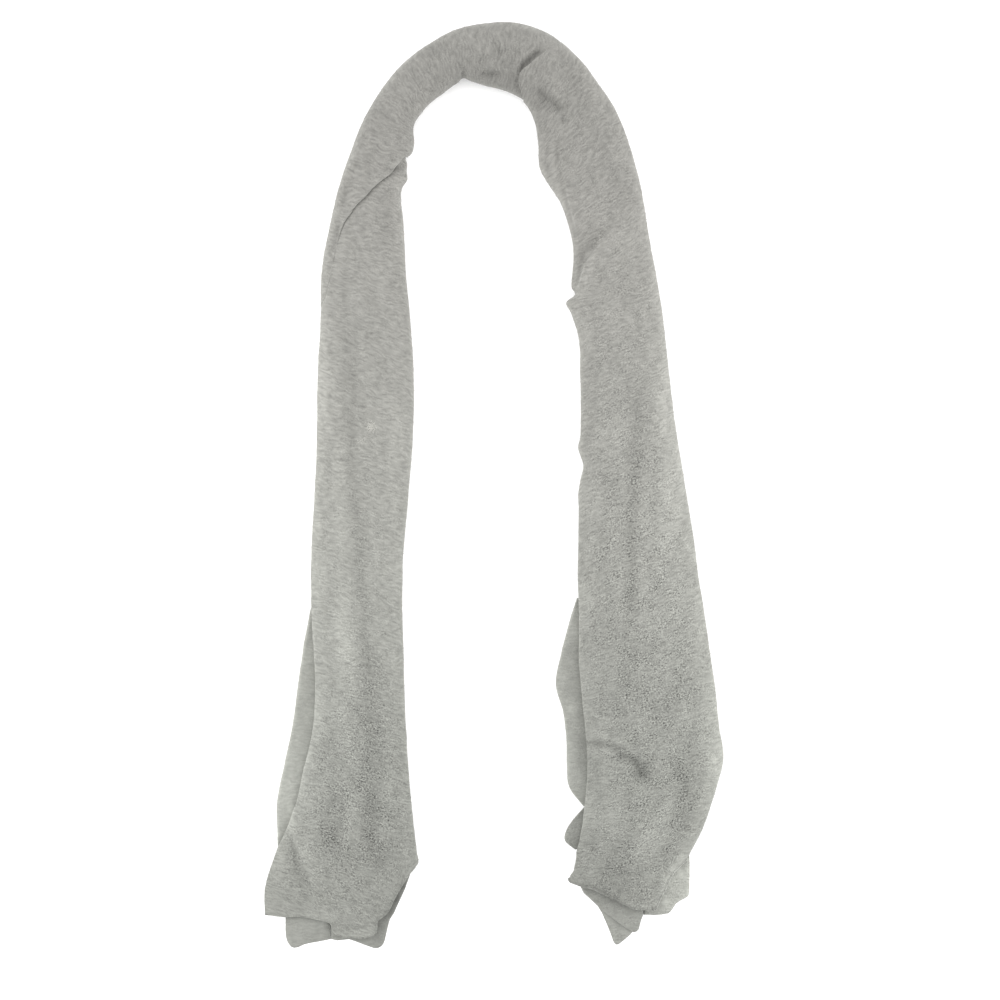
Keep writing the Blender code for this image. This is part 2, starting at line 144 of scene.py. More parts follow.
for side, aside in (("left", -SOFT_BOX_ASIDE), ("right", SOFT_BOX_ASIDE)):
    soft_box("soft_box_" + side, (aside, 0.0, SOFT_BOX_UP), SOFT_BOX_SIZE, SOFT_BOX_POWER)
print("two soft boxes of", SOFT_BOX_POWER, "W,", SOFT_BOX_ASIDE, "m to each side")

# %% [markdown]
# # The ribs
# Each rib is a section straight across the stole: where its outer and its inner fold lie on the table, how
# high its underside is, how thick the folded side is, and how much more its middle stands up. They run from
# the left end up, round the neck and down to the right end. A smooth curve through the rows gives the
# section at any distance along the stole, so the mesh can be as fine as it needs to be.

# %% The table of ribs
Rib = namedtuple("Rib", "outer_x outer_y inner_x inner_y base side crown")
RIB_TABLE = [
    # left leg, upwards
    Rib(-216.0, -362, -76.2, -367, 5.5, 7.0, 2.0),
    Rib(-207.5, -344, -78.7, -347, 7.0, 8.5, 2.5),
    Rib(-197.5, -319, -81.5, -319, 7.0, 10.0, 3.0),
    Rib(-190.5, -289, -83.8, -292, 7.0, 11.0, 3.0),
    Rib(-181.5, -249, -86.5, -252, 7.0, 12.0, 3.0),
    Rib(-177.5, -204, -88.5, -207, 7.0, 13.0, 3.0),
    Rib(-179.0, -164, -89.4, -166, 7.0, 14.0, 3.0),
    Rib(-181.5, -120, -90.8, -122, 7.0, 14.0, 3.0),
    Rib(-181.8, -74, -90.0, -74, 5.5, 16.0, 3.0),
    Rib(-178.7, -14, -85.1, -14, 2.5, 19.0, 3.5),
    Rib(-176.2, 46, -80.4, 46, 1.0, 20.0, 4.0),
    Rib(-175.5, 106, -79.3, 106, 1.0, 20.0, 4.0),
    Rib(-172.5, 166, -83.0, 168, 1.0, 21.0, 4.0),
    Rib(-171.4, 211, -87.4, 216, 1.0, 23.0, 4.0),
    Rib(-163.8, 256, -89.4, 260, 1.0, 25.0, 4.0),
    Rib(-154.5, 296, -92.0, 290, 1.0, 27.0, 4.0),
    # neck, clockwise
    Rib(-143.2, 330, -87.5, 312, 1.0, 28.0, 4.0),
    Rib(-129.9, 363.4, -80.3, 340, 1.0, 29.0, 4.0),
    Rib(-111.4, 395.2, -78.9, 360, 1.0, 29.0, 4.0),
    Rib(-91.9, 419.1, -67.2, 376.8, 1.0, 29.0, 4.0),
    Rib(-67.6, 438.0, -50.4, 390.6, 1.0, 29.0, 4.0),
    Rib(-38.8, 454.0, -30.0, 402.9, 1.0, 30.0, 4.0),
    Rib(-6.5, 461.0, -6.5, 397.9, 1.0, 31.0, 4.0),
    Rib(27.0, 460.2, 15.0, 391.9, 1.0, 31.0, 4.0),
    Rib(58.2, 448.3, 32.5, 381.4, 1.0, 31.0, 4.0),
    Rib(84.0, 426.8, 40.8, 364, 1.0, 30.0, 4.0),
    Rib(103.5, 402, 44.7, 340, 1.0, 29.0, 4.0),
    Rib(120.0, 377, 45.7, 318, 1.0, 28.0, 4.0),
    # right leg, downwards
    Rib(134.8, 342, 56.3, 298, 1.0, 27.0, 4.0),
    Rib(144.0, 311, 66.7, 282, 1.0, 26.0, 4.0),
    Rib(150.0, 281, 74.5, 260, 1.0, 25.0, 4.0),
    Rib(156.5, 241, 79.8, 232, 1.0, 24.0, 4.0),
    Rib(163.3, 204, 77.5, 200, 1.0, 23.0, 4.0),
    Rib(168.3, 174, 77.0, 176, 1.0, 22.0, 4.0),
    Rib(171.1, 150, 84.4, 150, 1.0, 22.0, 4.0),
    Rib(175.2, 111, 86.4, 111, 1.0, 21.0, 4.0),
    Rib(180.7, 66, 87.0, 66, 1.0, 20.0, 4.0),
    Rib(187.0, 26, 87.4, 26, 1.0, 20.0, 4.0),
    Rib(193.5, -14, 85.0, -14, 2.5, 19.0, 3.5),
    Rib(199.9, -54, 84.5, -54, 5.0, 17.0, 3.0),
    Rib(204.2, -89, 84.0, -94, 7.0, 15.0, 3.0),
    Rib(209.3, -120, 85.3, -126, 7.0, 14.0, 3.0),
    Rib(215.6, -164, 85.0, -169, 7.0, 14.0, 3.0),
    Rib(221.5, -206, 88.0, -209, 7.0, 14.0, 3.0),
    Rib(225.3, -242, 92.0, -249, 7.0, 13.0, 3.0),
    Rib(229.2, -272, 93.5, -276, 7.0, 12.0, 3.0),
    Rib(224.5, -294, 92.7, -300, 7.0, 11.0, 3.0),
    Rib(216.2, -320, 90.5, -322, 7.0, 10.0, 3.0),
    Rib(206.8, -346, 87.5, -344, 7.0, 8.5, 2.5),
    Rib(196.2, -366, 83.0, -365, 6.0, 7.0, 2.0),
]
RIBS = np.array(RIB_TABLE, float)
MIDDLES = (RIBS[:, 0:2] + RIBS[:, 2:4]) / 2
STEPS = np.linalg.norm(np.diff(MIDDLES, axis=0), axis=1)
ALONG = np.concatenate([[0.0], np.cumsum(STEPS)])
END = ALONG[-1]
print("ribs:", len(RIBS), "middle line", round(END / 1000, 3), "m from the first to the last")

# %% [markdown]
# # Small bumps of the folded edges
# A folded edge is never a clean line. The cloth puckers where it is bent sideways, so the inner edge of the
# neck has small bulges and nicks. They could be more ribs, but a rib says seven things and a bump only
# three: where along the stole it is, how far it reaches each way, and how far it stands out.

# %% Bumps and nicks of the inner edge
Bump = namedtuple("Bump", "along reach out")
INNER_BUMPS = [
    Bump(680, 9, 3.6),
    Bump(704, 5, -3.8),
    Bump(829, 6, -3.0),
    Bump(1151, 5, -5.0),
    Bump(1161, 7, 4.5),
    Bump(1305, 9, 3.2),
    Bump(1325, 9, -2.4),
    Bump(1353, 8, 1.0),
]
print("bumps and nicks:", len(INNER_BUMPS))

# %% [markdown]
# # Smooth curves through a table
# Nearly everything here is read from a short table, at many more places than it has rows. Straight lines
# between the rows would show as facets, so a cubic curve is put through them, with each row's slope taken
# from its neighbours. An easing curve serves where something only has to begin or end softly.

# %% Reading tables smoothly

def smooth(xs, ys, x):
    """Smooth curve through the rows (xs, ys), read at every x."""
    xs, ys = np.asarray(xs, float), np.asarray(ys, float)
    x = np.clip(np.asarray(x, float), xs[0], xs[-1])
    slopes = np.gradient(ys, xs, axis=0, edge_order=1)
    row = np.clip(np.searchsorted(xs, x, side="right") - 1, 0, len(xs) - 2)
    step = xs[row + 1] - xs[row]
    t = (x - xs[row]) / step
    if ys.ndim > 1:
        t, step = t[..., None], step[..., None]
    start = (1 + 2 * t) * (1 - t) ** 2 * ys[row] + t * (1 - t) ** 2 * step * slopes[row]
    return start + t**2 * (3 - 2 * t) * ys[row + 1] + t**2 * (t - 1) * step * slopes[row + 1]


def ease(x):
    """0 up to x = 0, 1 from x = 1, and smooth between."""
    x = np.clip(x, 0.0, 1.0)
    return x * x * (3 - 2 * x)


def line_point(line, share):
    """Points at these shares of the length of a line of (x, y) rows."""
    line = np.asarray(line, float)
    reach = np.concatenate([[0.0], np.cumsum(np.linalg.norm(np.diff(line, axis=0), axis=1))])
    share = np.asarray(share, float) * reach[-1]
    return np.stack([np.interp(share, reach, line[:, k]) for k in (0, 1)], axis=-1)


print("half way along the ribs:", np.round(smooth(ALONG, RIBS, END / 2), 1).tolist())

# %% [markdown]
# # The two ends
# Beyond the last rib the cloth fans out to its hem. There the four sides of the patch are known: the rib, the
# two side edges and the hem. A Coons patch fills such a patch smoothly, and the same function serves for
# every loose layer that lies flat at an end.

# %% Sides and hems of the two falls
LEFT_END_OUTER = [
    (-216.0, -362), (-221.5, -378), (-225.5, -390), (-228.5, -402), (-229.0, -414), (-228.5, -427),
]
LEFT_END_INNER = [(-76.2, -367), (-75.6, -369.5), (-75.3, -372)]
LEFT_HEM = [
    (-228.5, -427), (-208.5, -429.2), (-195.0, -428.4), (-182.5, -430.4), (-173.5, -432.4), (-163.5, -434.6),
    (-160.8, -438.5), (-159.8, -443), (-157.5, -446), (-149.0, -449.6), (-141.2, -449.4), (-131.5, -450.6),
    (-122.0, -448), (-117.2, -444), (-117.6, -438), (-116.4, -433), (-108.0, -426.3),
    (-104.0, -421), (-101.0, -413.5), (-94.3, -401.5), (-86.0, -389), (-79.6, -381), (-76.0, -376),
    (-75.3, -372),
]
RIGHT_END_OUTER = [(196.2, -366), (195.9, -367.2), (195.6, -368)]
RIGHT_END_INNER = [(83.0, -365), (82.7, -371.6), (80.2, -384), (77.4, -387.6), (75.5, -391)]
RIGHT_HEM = [
    (195.6, -368), (189.5, -375), (180.0, -383.7), (175.1, -391), (171.5, -399.5), (167.5, -407),
    (164.2, -415), (161.5, -421.5), (158.5, -423), (150.9, -421.5), (141.2, -421), (129.1, -415),
    (119.5, -410), (107.3, -404.5), (100.0, -401.0), (87.9, -398.0), (81.0, -395.6), (77.0, -394.2),
    (75.5, -391),
]
# base, side and crown at the hem's outer corner and at its inner one
LEFT_HEM_HEIGHTS = [(2.3, 3.4, 0.8), (3.6, 5.0, 1.4)]
RIGHT_HEM_HEIGHTS = [(4.8, 5.5, 1.5), (4.3, 3.4, 0.8)]
HEM_REACH = 60.0  # from the last rib to the hem, along the stole
HEM_POWER = 1.5  # how late the hem's own form takes over
BASE_DROP = 0.8  # the wrapped side lies down on the table by this much
LOWEST_BASE = 0.2


def rib_at(along, across=0.5):
    """The rib at each distance along: its outer and inner fold, base, side and crown. Past the last rib
    the heights change across too."""
    rib = smooth(ALONG, RIBS, along)
    rib[..., 4] = np.maximum(rib[..., 4] - BASE_DROP, LOWEST_BASE)
    across = np.broadcast_to(across, np.shape(along))[..., None]
    inwards = rib[..., 0:2] - rib[..., 2:4]
    inwards = inwards / np.linalg.norm(inwards, axis=-1, keepdims=True)
    for bump in INNER_BUMPS:
        out = bump.out * np.exp(-(((along - bump.along) / bump.reach) ** 2))
        rib[..., 2:4] -= inwards * out[..., None]
    for past, outer, inner, heights in (
        (-along, LEFT_END_OUTER, LEFT_END_INNER, LEFT_HEM_HEIGHTS),
        (along - END, RIGHT_END_OUTER, RIGHT_END_INNER, RIGHT_HEM_HEIGHTS),
    ):
        share = np.clip(past / HEM_REACH, 0, 1)[..., None]
        beyond = share > 0
        rib[..., 0:2] = np.where(beyond, line_point(outer, share[..., 0]), rib[..., 0:2])
        rib[..., 2:4] = np.where(beyond, line_point(inner, share[..., 0]), rib[..., 2:4])
        at_hem = np.array(heights[0]) + (np.array(heights[1]) - np.array(heights[0])) * across**2
        rib[..., 4:7] += (at_hem - rib[..., 4:7]) * (1 - (1 - share) ** HEM_POWER)
    return rib


def plan(along, across, rib=None):
    """Places on the table, this far along and this share of the way from the outer fold to the inner."""
    rib = rib_at(along) if rib is None else rib
    across = across[..., None]
    straight = rib[..., 0:2] + (rib[..., 2:4] - rib[..., 0:2]) * across
    for past, hem in ((-along, LEFT_HEM), (along - END, RIGHT_HEM)):
        share = np.clip(past / HEM_REACH, 0, 1)[..., None]
        ends = np.asarray(hem, float)
        chord = ends[0] + (ends[-1] - ends[0]) * across
        straight = straight + (line_point(hem, across[..., 0]) - chord) * share**HEM_POWER
    return straight


print("left hem", round(float(np.linalg.norm(np.diff(LEFT_HEM, axis=0), axis=1).sum())), "mm long")

# %% [markdown]
# # The section
# A gathered leg is flat on top and round at both folds, like a rounded slab. A superellipse draws that: the
# sum of |x/a|^n and |z/b|^n is 1, where n = 2 is an ellipse and a larger n is boxier. Below each fold the
# cloth turns in on a quarter circle and comes to lie on the table. One number tells where on the section a
# point is: 0 to 1 over the top, below 0 under the outer fold, and above 1 under the inner one.

# %% Points on the section
BOXINESS = 2.2


def across_share(place):
    """The share of the way across for a place round the section."""
    return (1 - np.cos(np.clip(place, 0, 1) * math.pi)) / 2


def section(along, place):
    """Points of the outer face in mm, this far along and at this place round the section."""
    rib = rib_at(along, across_share(place))
    width = np.linalg.norm(rib[..., 2:4] - rib[..., 0:2], axis=-1)
    base, radius, crown = rib[..., 4], rib[..., 5] / 2, rib[..., 6]
    cosine = np.cos(np.clip(place, 0, 1) * math.pi)
    rise = (radius + crown) * np.clip(1 - np.abs(cosine) ** BOXINESS, 0, 1) ** (1 / BOXINESS)
    under_outer = np.clip(-place, 0, 1) * math.pi / 2
    under_inner = np.clip(place - 1, 0, 1) * math.pi / 2
    lateral = width / 2 * (1 - cosine) + radius * (np.cos(under_inner) - np.cos(under_outer))
    x_y = plan(along, lateral / width, rib)
    z = base + radius + rise - radius * np.sin(under_outer + under_inner)
    return np.concatenate([x_y, z[..., None]], axis=-1)


def places(under, top):
    """The places round the section that a mesh has its columns at."""
    below = np.linspace(-1, 0, under + 1)[:-1]
    return np.concatenate([below, np.linspace(0, 1, top + 1), 1 - below[::-1]])


def steps_between(points, axis):
    """The lengths from each point of a grid to the next one."""
    return np.linalg.norm(np.diff(points, axis=axis), axis=-1)


def unit(vectors):
    """The same directions, all one long."""
    return vectors / np.maximum(np.linalg.norm(vectors, axis=-1, keepdims=True), 1e-9)


def grid_normals(points):
    """The normals of a grid of points, away from the table on the top."""
    return unit(np.cross(np.gradient(points, axis=1), np.gradient(points, axis=0)))


test = section(np.full(5, 857.0), np.array([-1, 0, 0.5, 1, 2.0]))
print("section at the top of the neck:", np.round(test, 1).tolist())

# %% [markdown]
# # Creases, and the crinkle of the felt
# A crease is drawn as a line on the plan with a width and a depth. Near the line the surface is pushed in or
# out along its normal, and the crease fades at both ends. A ledge is a crease with one side higher than the
# other, as where a fold has been pressed over. All of this could be sculpted by hand, but a table can be read
# and corrected.
#
# Fulled cashmere also crinkles all over, mostly across its length. Smooth noise with cells that are longer
# across than along gives that, bent by a second, coarser noise so that no two crinkles run alike.

# %% The table of creases
Crease = namedtuple("Crease", "line width depth ledge", defaults=(0.0,))
LEFT_CREASES = [
    Crease([(-143.5, 240), (-143.5, 146), (-140.5, 11), (-133.5, -74), (-126.5, -154), (-122.5, -254),
            (-120.5, -355)], 9, -3.2),
    Crease([(-152, 60), (-150.5, -74), (-151.5, -154), (-153, -215)], 6, 1.4),
    Crease([(-200.5, -310), (-194.5, -349), (-187.5, -369), (-182.5, -381), (-172.5, -402)], 5, 1.9),
    Crease([(-204, -342), (-195.5, -378), (-187, -408)], 5, -2.6),
    Crease([(-163, -308), (-158, -334), (-160, -362)], 8, -1.8),
    Crease([(-142, -300), (-139, -334), (-143, -362)], 7, 1.2),
    Crease([(-123, -300), (-121, -350), (-113, -392)], 8, -2.2),
    Crease([(-166, -437), (-150, -439.5), (-118, -439)], 2.2, -1.6),
    Crease([(-205, -425), (-190, -418), (-170, -424)], 6, 0.8),
    Crease([(-165, 200), (-160, 120), (-166, 30)], 7, 0.8),
    Crease([(-100, 150), (-98, 40), (-104, -60)], 7, 0.6),
    Crease([(-114, 310), (-98, 310.2), (-80, 310)], 1.8, -0.9, -2.0),
    Crease([(-106, 316), (-96, 318), (-82, 322)], 5, -3.4),
]
NECK_CREASES = [
    Crease([(1, 442), (4, 433), (9.5, 424)], 2.0, -1.6),
    Crease([(-31, 421), (-28, 404)], 3, -1.3),
    Crease([(-41, 412), (-36.5, 400)], 2.5, -0.8),
    Crease([(-127, 337), (-140, 320), (-151, 302)], 4, 1.2),
    Crease([(-100, 402), (-80, 370)], 5, -0.7),
    Crease([(-68, 427), (-54, 398)], 4, -0.7),
    Crease([(-10, 457), (-12, 405)], 5, -0.5),
    Crease([(22, 452), (17, 400)], 4, -0.6),
    Crease([(-14, 408), (-4, 409.5), (8, 409)], 3, -2.2),
    Crease([(-112, 372), (-95, 352)], 5, -0.6),
    Crease([(50, 437), (44, 430), (33, 420), (25, 410)], 4, -3.4),
]
RIGHT_CREASES = [
    Crease([(38, 397), (52, 386), (72, 370)], 4.5, -4.0),
    Crease([(61, 356), (64, 330), (68, 310), (72, 290), (79, 262), (83, 236)], 1.8, -1.0, -0.9),
    Crease([(80, 182), (89.5, 217), (99.5, 233), (113, 250.5), (130, 266)], 3.5, 0.0, 3.0),
    Crease([(81, 184), (91, 217), (101, 233), (115, 250), (126, 261)], 1.8, 1.3),
    Crease([(82, 196), (87, 226), (97, 246)], 5, -1.1),
    Crease([(139, 150), (141, 60), (137, -40), (135, -134), (136, -200)], 7.5, -2.6),
    Crease([(165, 140), (167, 20), (170, -80)], 7, 1.2),
    Crease([(80, -257), (102, -255.7), (112, -257), (122, -261), (133, -266)], 3, -1.8),
    Crease([(117, -270), (122, -268.5), (128, -267.5), (135, -268.7), (139, -271), (143, -275.5), (146, -283),
            (147, -291)], 2.8, -2.0, -0.8),
    Crease([(139, -266), (145, -280), (150, -298)], 7.5, -2.8),
    Crease([(92, -247), (110, -250), (128, -257), (140, -263)], 4, 1.4),
    Crease([(178, -258), (185, -282), (188, -306), (184, -332), (174, -352)], 11, -3.0),
    Crease([(209, -290), (206, -318), (198, -345)], 7, 1.2),
    Crease([(162, -418), (168, -403), (175, -388), (184, -376), (196, -362)], 4, 1.4),
    Crease([(116, -358), (128, -368), (140, -380)], 9, -1.3),
    Crease([(112, -330), (130, -338)], 12, 0.9),
    Crease([(62, 425), (78, 405), (90, 380)], 9, -0.8),
    Crease([(120, 330), (128, 296), (134, 262)], 9, -0.7),
]
ALL_CREASES = LEFT_CREASES + NECK_CREASES + RIGHT_CREASES
print("creases:", len(ALL_CREASES), "deepest", min(crease.depth for crease in ALL_CREASES), "mm")

# %% Pressing the creases in
CREASE_FADE = 4  # a crease fades over a quarter of its length at each end
LEDGE_REACH = 3  # a ledge dies away over this many widths


def relief(points, creases):
    """How far each point stands out, from the creases that pass near it."""
    x, y = points[..., 0], points[..., 1]
    height = np.zeros_like(x)
    for crease in creases:
        line = np.asarray(crease.line, float)
        lengths = np.linalg.norm(np.diff(line, axis=0), axis=1)
        nearest = np.full_like(x, 1e9)
        side, run = np.zeros_like(x), np.zeros_like(x)
        for k, length in enumerate(lengths):
            (ax, ay), (bx, by) = line[k], line[k + 1]
            ux, uy = (bx - ax) / length, (by - ay) / length
            t = np.clip((x - ax) * ux + (y - ay) * uy, 0, length)
            gap = np.hypot(x - ax - t * ux, y - ay - t * uy)
            here = gap < nearest
            nearest = np.where(here, gap, nearest)
            side = np.where(here, np.sign((x - ax) * uy - (y - ay) * ux), side)
            run = np.where(here, lengths[:k].sum() + t, run)
        total = lengths.sum()
        fade = ease(run / total * CREASE_FADE) * ease((1 - run / total) * CREASE_FADE)
        near = nearest / crease.width
        height += crease.depth * np.exp(-(near**2)) * fade
        height += crease.ledge * side * np.tanh(near) * np.exp(-((near / LEDGE_REACH) ** 2)) * fade
    return height


deep_fold = np.array([[-143.5, 0.0, 0.0]])
print("the left leg's long valley is pressed", round(float(relief(deep_fold, LEFT_CREASES)[0]), 2), "mm")

# %% The crinkle
NOISE_CELLS = 256  # before the noise repeats
SLOW_BEND, QUICK_BEND = 5.0, 2.5  # mm sideways
SHORT_RIDGES, SHORTER_RIDGES, SLOW_WAVES = 0.34, 0.15, 0.55  # mm high


def noise(u, v, cell_u, cell_v, seed):
    """Smooth noise from -1 to 1 over the cloth, in cells of this size in mm."""
    table = np.random.default_rng(seed).uniform(-1, 1, (NOISE_CELLS, NOISE_CELLS))
    a, b = u / cell_u, v / cell_v
    i, j = np.floor(a).astype(int), np.floor(b).astype(int)
    fa, fb = ease(a - i), ease(b - j)

    def corner(di, dj):
        return table[(i + di) % NOISE_CELLS, (j + dj) % NOISE_CELLS]

    low = corner(0, 0) * (1 - fa) + corner(1, 0) * fa
    high = corner(0, 1) * (1 - fa) + corner(1, 1) * fa
    return low * (1 - fb) + high * fb


def crinkle(u, v):
    """The felt's crinkle: short ridges across the stole, on slow soft waves. Each noise has its own cells in
    mm, across and along, and its own seed."""
    bend = SLOW_BEND * noise(u, v, 26, 30, 11) + QUICK_BEND * noise(u, v, 9, 12, 12)
    short = noise(u + bend, v + bend, 12, 5.6, 13)
    shorter = noise(u - bend, v + bend, 7, 4.0, 14)
    waves = noise(u + 2 * bend, v + bend, 26, 19, 15)
    return SHORT_RIDGES * short + SHORTER_RIDGES * shorter + SLOW_WAVES * waves


sample = crinkle(*np.meshgrid(np.arange(0, 100, 1.0), np.arange(0, 100, 1.0)))
print("crinkle from", round(float(sample.min()), 2), "to", round(float(sample.max()), 2), "mm")

# %% [markdown]
# # The cloth's finish
# Cashmere is spun from very fine goat's hair and lightly felted, so it has no shine at all: what the eye
# reads is a matt grey, a soft pale bloom where the nap is seen from the side, and the crinkle's short light
# and dark strokes. The Principled shader's sheen gives the bloom. The strokes come from noise that is
# stretched across the stole, laid out on the cloth's own UV map in metres, so that they turn with the cloth
# round the neck. The same noise raises the bump, so the strokes are partly the felt's own streaks and partly
# painted shade in the crinkle's hollows. Where the cloth lies smoothed out near the ends it is drier and
# grainier, and a painted attribute, grain, blends the strokes into grit there. A second one, tone, holds how
# dark the felt is drawn: its own mottling, and painted light and shade on its edges, creases and folds.

# %% Adding a node, and the felt's colours and patterns
def add_node(tree, kind, inputs=None, **settings):
    """A node with its settings. An input is a value, the (node, output) that is linked into it, or a node
    alone, which stands for its first output."""
    node = tree.nodes.new(kind)
    for key, value in settings.items():
        setattr(node, key, value)
    for key, value in (inputs or {}).items():
        if isinstance(value, bpy.types.Node):
            value = (value, next(k for k, output in enumerate(value.outputs) if output.enabled))
        if isinstance(value, tuple) and len(value) == 2 and isinstance(value[0], bpy.types.Node):
            tree.links.new(value[0].outputs[value[1]], node.inputs[key])
        else:
            node.inputs[key].default_value = value
    return node


MATHS, VECTORS, RANGE = "ShaderNodeMath", "ShaderNodeVectorMath", "ShaderNodeMapRange"
NECK_COLOUR = "787773"
END_COLOUR = "767772"
NECK_MIDDLE = 0.86  # metres along the stole
DRY_FROM, DRY_TO = 0.2, 0.75  # metres from there
COUNTED_OVER = 0.1
# How many of each pattern lie in 100 mm across and along the stole, as a weaver counts threads, and how
# detailed and rough its noise is. A hair is 0.015 mm thick, too fine to draw, so a grain of the grit, 1.5 to
# 2 mm across, stands for a knot of many hairs.
PATTERNS = {
    "bends": (5, 6, 2.0, 0.55),
    "turns": (2.2, 2.6, 2.0, 0.6),
    "fine strokes": (13, 33.5, 1.0, 0.6),
    "grit": (56, 68, 1.0, 0.7),
    "clumps": (7, 9, 2.0, 0.6),
    "clouds": (3.8, 2.6, 3.0, 0.62),
}
BUNDLES = 13  # in 100 mm, each of a few strokes that lie side by side
STROKES_IN_A_BUNDLE = 2.3
BENT_BY = 0.009  # metres, at the most
TURNED_BY = 1.8  # radians between the bundles that lean most one way and the other
# how much each pattern changes smooth felt, and how much more it changes grainy felt
STRENGTHS = {
    "bundles": (0.36, 0.26),
    "fine strokes": (0.98, -0.2),
    "grit": (0.0, 1.0),
    "clouds": (0.20, 0.55),
}
for kind, (across, along, _, _) in PATTERNS.items():
    print(kind, "every", round(100 / across, 1), "mm across and", round(100 / along, 1), "mm along")

# %% The cashmere material
HALF = (0.5, 0.5, 0.5)


def felted_cashmere(name, stroke, grit, relief_mm):
    """Felted cashmere: matt, with the nap's pale bloom, the felt's short strokes and its grit."""
    material = bpy.data.materials.new(name)
    material.use_nodes = True
    tree = material.node_tree
    cloth = add_node(tree, "ShaderNodeUVMap", uv_map="cloth")
    grain = add_node(tree, "ShaderNodeAttribute", attribute_name="grain")
    tone = add_node(tree, "ShaderNodeAttribute", attribute_name="tone")

    def pattern(kind, laid_on):
        """One of the felt's patterns, laid on the cloth's own map or on the bent one."""
        across, along, detail, roughness = PATTERNS[kind]
        cells = (across / COUNTED_OVER, along / COUNTED_OVER, 1.0)
        counted = add_node(tree, VECTORS, {0: laid_on, 1: cells}, operation="MULTIPLY")
        return add_node(tree, "ShaderNodeTexNoise",
                        {"Vector": counted, "Scale": 1.0, "Detail": detail, "Roughness": roughness},
                        noise_dimensions="2D")

    # slow bends in the strokes
    both_ways = add_node(tree, VECTORS, {0: (pattern("bends", cloth), "Color"), 1: HALF},
                         operation="SUBTRACT")
    shift = add_node(tree, VECTORS, {0: both_ways, "Scale": BENT_BY}, operation="SCALE")
    bent = add_node(tree, VECTORS, {0: cloth, 1: shift}, operation="ADD")
    # strokes across the stole, in bundles that lean this way and that
    turn = add_node(tree, MATHS, {0: pattern("turns", cloth), 1: TURNED_BY, 2: (math.pi - TURNED_BY) / 2},
                    operation="MULTIPLY_ADD")
    bundles = add_node(tree, "ShaderNodeTexGabor",
                       {"Vector": bent, "Scale": BUNDLES / COUNTED_OVER, "Frequency": STROKES_IN_A_BUNDLE,
                        "Anisotropy": 0.9, "Orientation": turn}, gabor_type="2D")
    laid = {"bundles": bundles, "fine strokes": pattern("fine strokes", bent), "grit": pattern("grit", cloth),
            "clouds": pattern("clouds", cloth)}
    # each pattern swings to both sides of its middle, as strongly as the grain says
    amounts = {"bundles": stroke, "fine strokes": stroke, "grit": grit, "clouds": 1.0}
    swing = {}
    for kind, (smooth_felt, grainy_felt) in STRENGTHS.items():
        strength = add_node(tree, MATHS, {0: (grain, "Fac"), 1: grainy_felt * amounts[kind],
                                          2: smooth_felt * amounts[kind]}, operation="MULTIPLY_ADD")
        middled = add_node(tree, MATHS, {0: laid[kind], 1: 0.5}, operation="SUBTRACT")
        swing[kind] = add_node(tree, MATHS, {0: middled, 1: strength}, operation="MULTIPLY")
    # the grit lies in clumps
    clumps = add_node(tree, RANGE, {"Value": pattern("clumps", cloth), "From Min": 0.36, "From Max": 0.64,
                                    "To Min": 0.45, "To Max": 1.45})
    clumped = add_node(tree, MATHS, {0: swing["grit"], 1: clumps}, operation="MULTIPLY")
    # the felt value also drives the bump below, so its darker strokes are partly painted shade in the
    # crinkle's hollows
    strokes = add_node(tree, MATHS, {0: swing["bundles"], 1: swing["fine strokes"]}, operation="ADD")
    felt = add_node(tree, MATHS, {0: strokes, 1: clumped}, operation="ADD")
    # clouds, where the felt is thicker, and the painted tone, which carries painted light and shade too
    patchy = add_node(tree, MATHS, {0: swing["clouds"], 1: 1.0}, operation="ADD")
    around_one = add_node(tree, MATHS, {0: felt, 1: patchy}, operation="ADD")
    shade = add_node(tree, MATHS, {0: around_one, 1: (tone, "Fac")}, operation="MULTIPLY")
    # the drier ends are a touch greener than the neck
    apart = add_node(tree, "ShaderNodeSeparateXYZ", {0: cloth})
    past_neck = add_node(tree, MATHS, {0: (apart, "Y"), 1: NECK_MIDDLE}, operation="SUBTRACT")
    from_neck = add_node(tree, MATHS, {0: past_neck}, operation="ABSOLUTE")
    dry = add_node(tree, RANGE, {"Value": from_neck, "From Min": DRY_FROM, "From Max": DRY_TO})
    colour = add_node(tree, "ShaderNodeMix", {0: dry, "A": srgb(NECK_COLOUR), "B": srgb(END_COLOUR)},
                      data_type="RGBA")
    tint = add_node(tree, VECTORS, {0: (colour, "Result"), "Scale": shade}, operation="SCALE")
    bump = add_node(tree, "ShaderNodeBump", {"Height": felt, "Distance": relief_mm * MM, "Strength": 1.0})
    shader = tree.nodes["Principled BSDF"]
    tree.links.new(tint.outputs["Vector"], shader.inputs["Base Color"])
    tree.links.new(bump.outputs["Normal"], shader.inputs["Normal"])
    shader.inputs["Roughness"].default_value = 0.95
    shader.inputs["Specular IOR Level"].default_value = 0.2
    shader.inputs["Sheen Weight"].default_value = 0.3
    shader.inputs["Sheen Roughness"].default_value = 0.6
    shader.inputs["Sheen Tint"].default_value = srgb("F4F4EE")
    return material


FACE = felted_cashmere("felted_cashmere_face", 0.72, 2.7, 0.5)
FOLD = felted_cashmere("felted_cashmere_smooth_fold", 0.42, 1.5, 0.4)
INNER = felted_cashmere("felted_cashmere_inner_side", 0.36, 1.3, 0.4)
print("materials:", [m.name for m in (FACE, FOLD, INNER)])
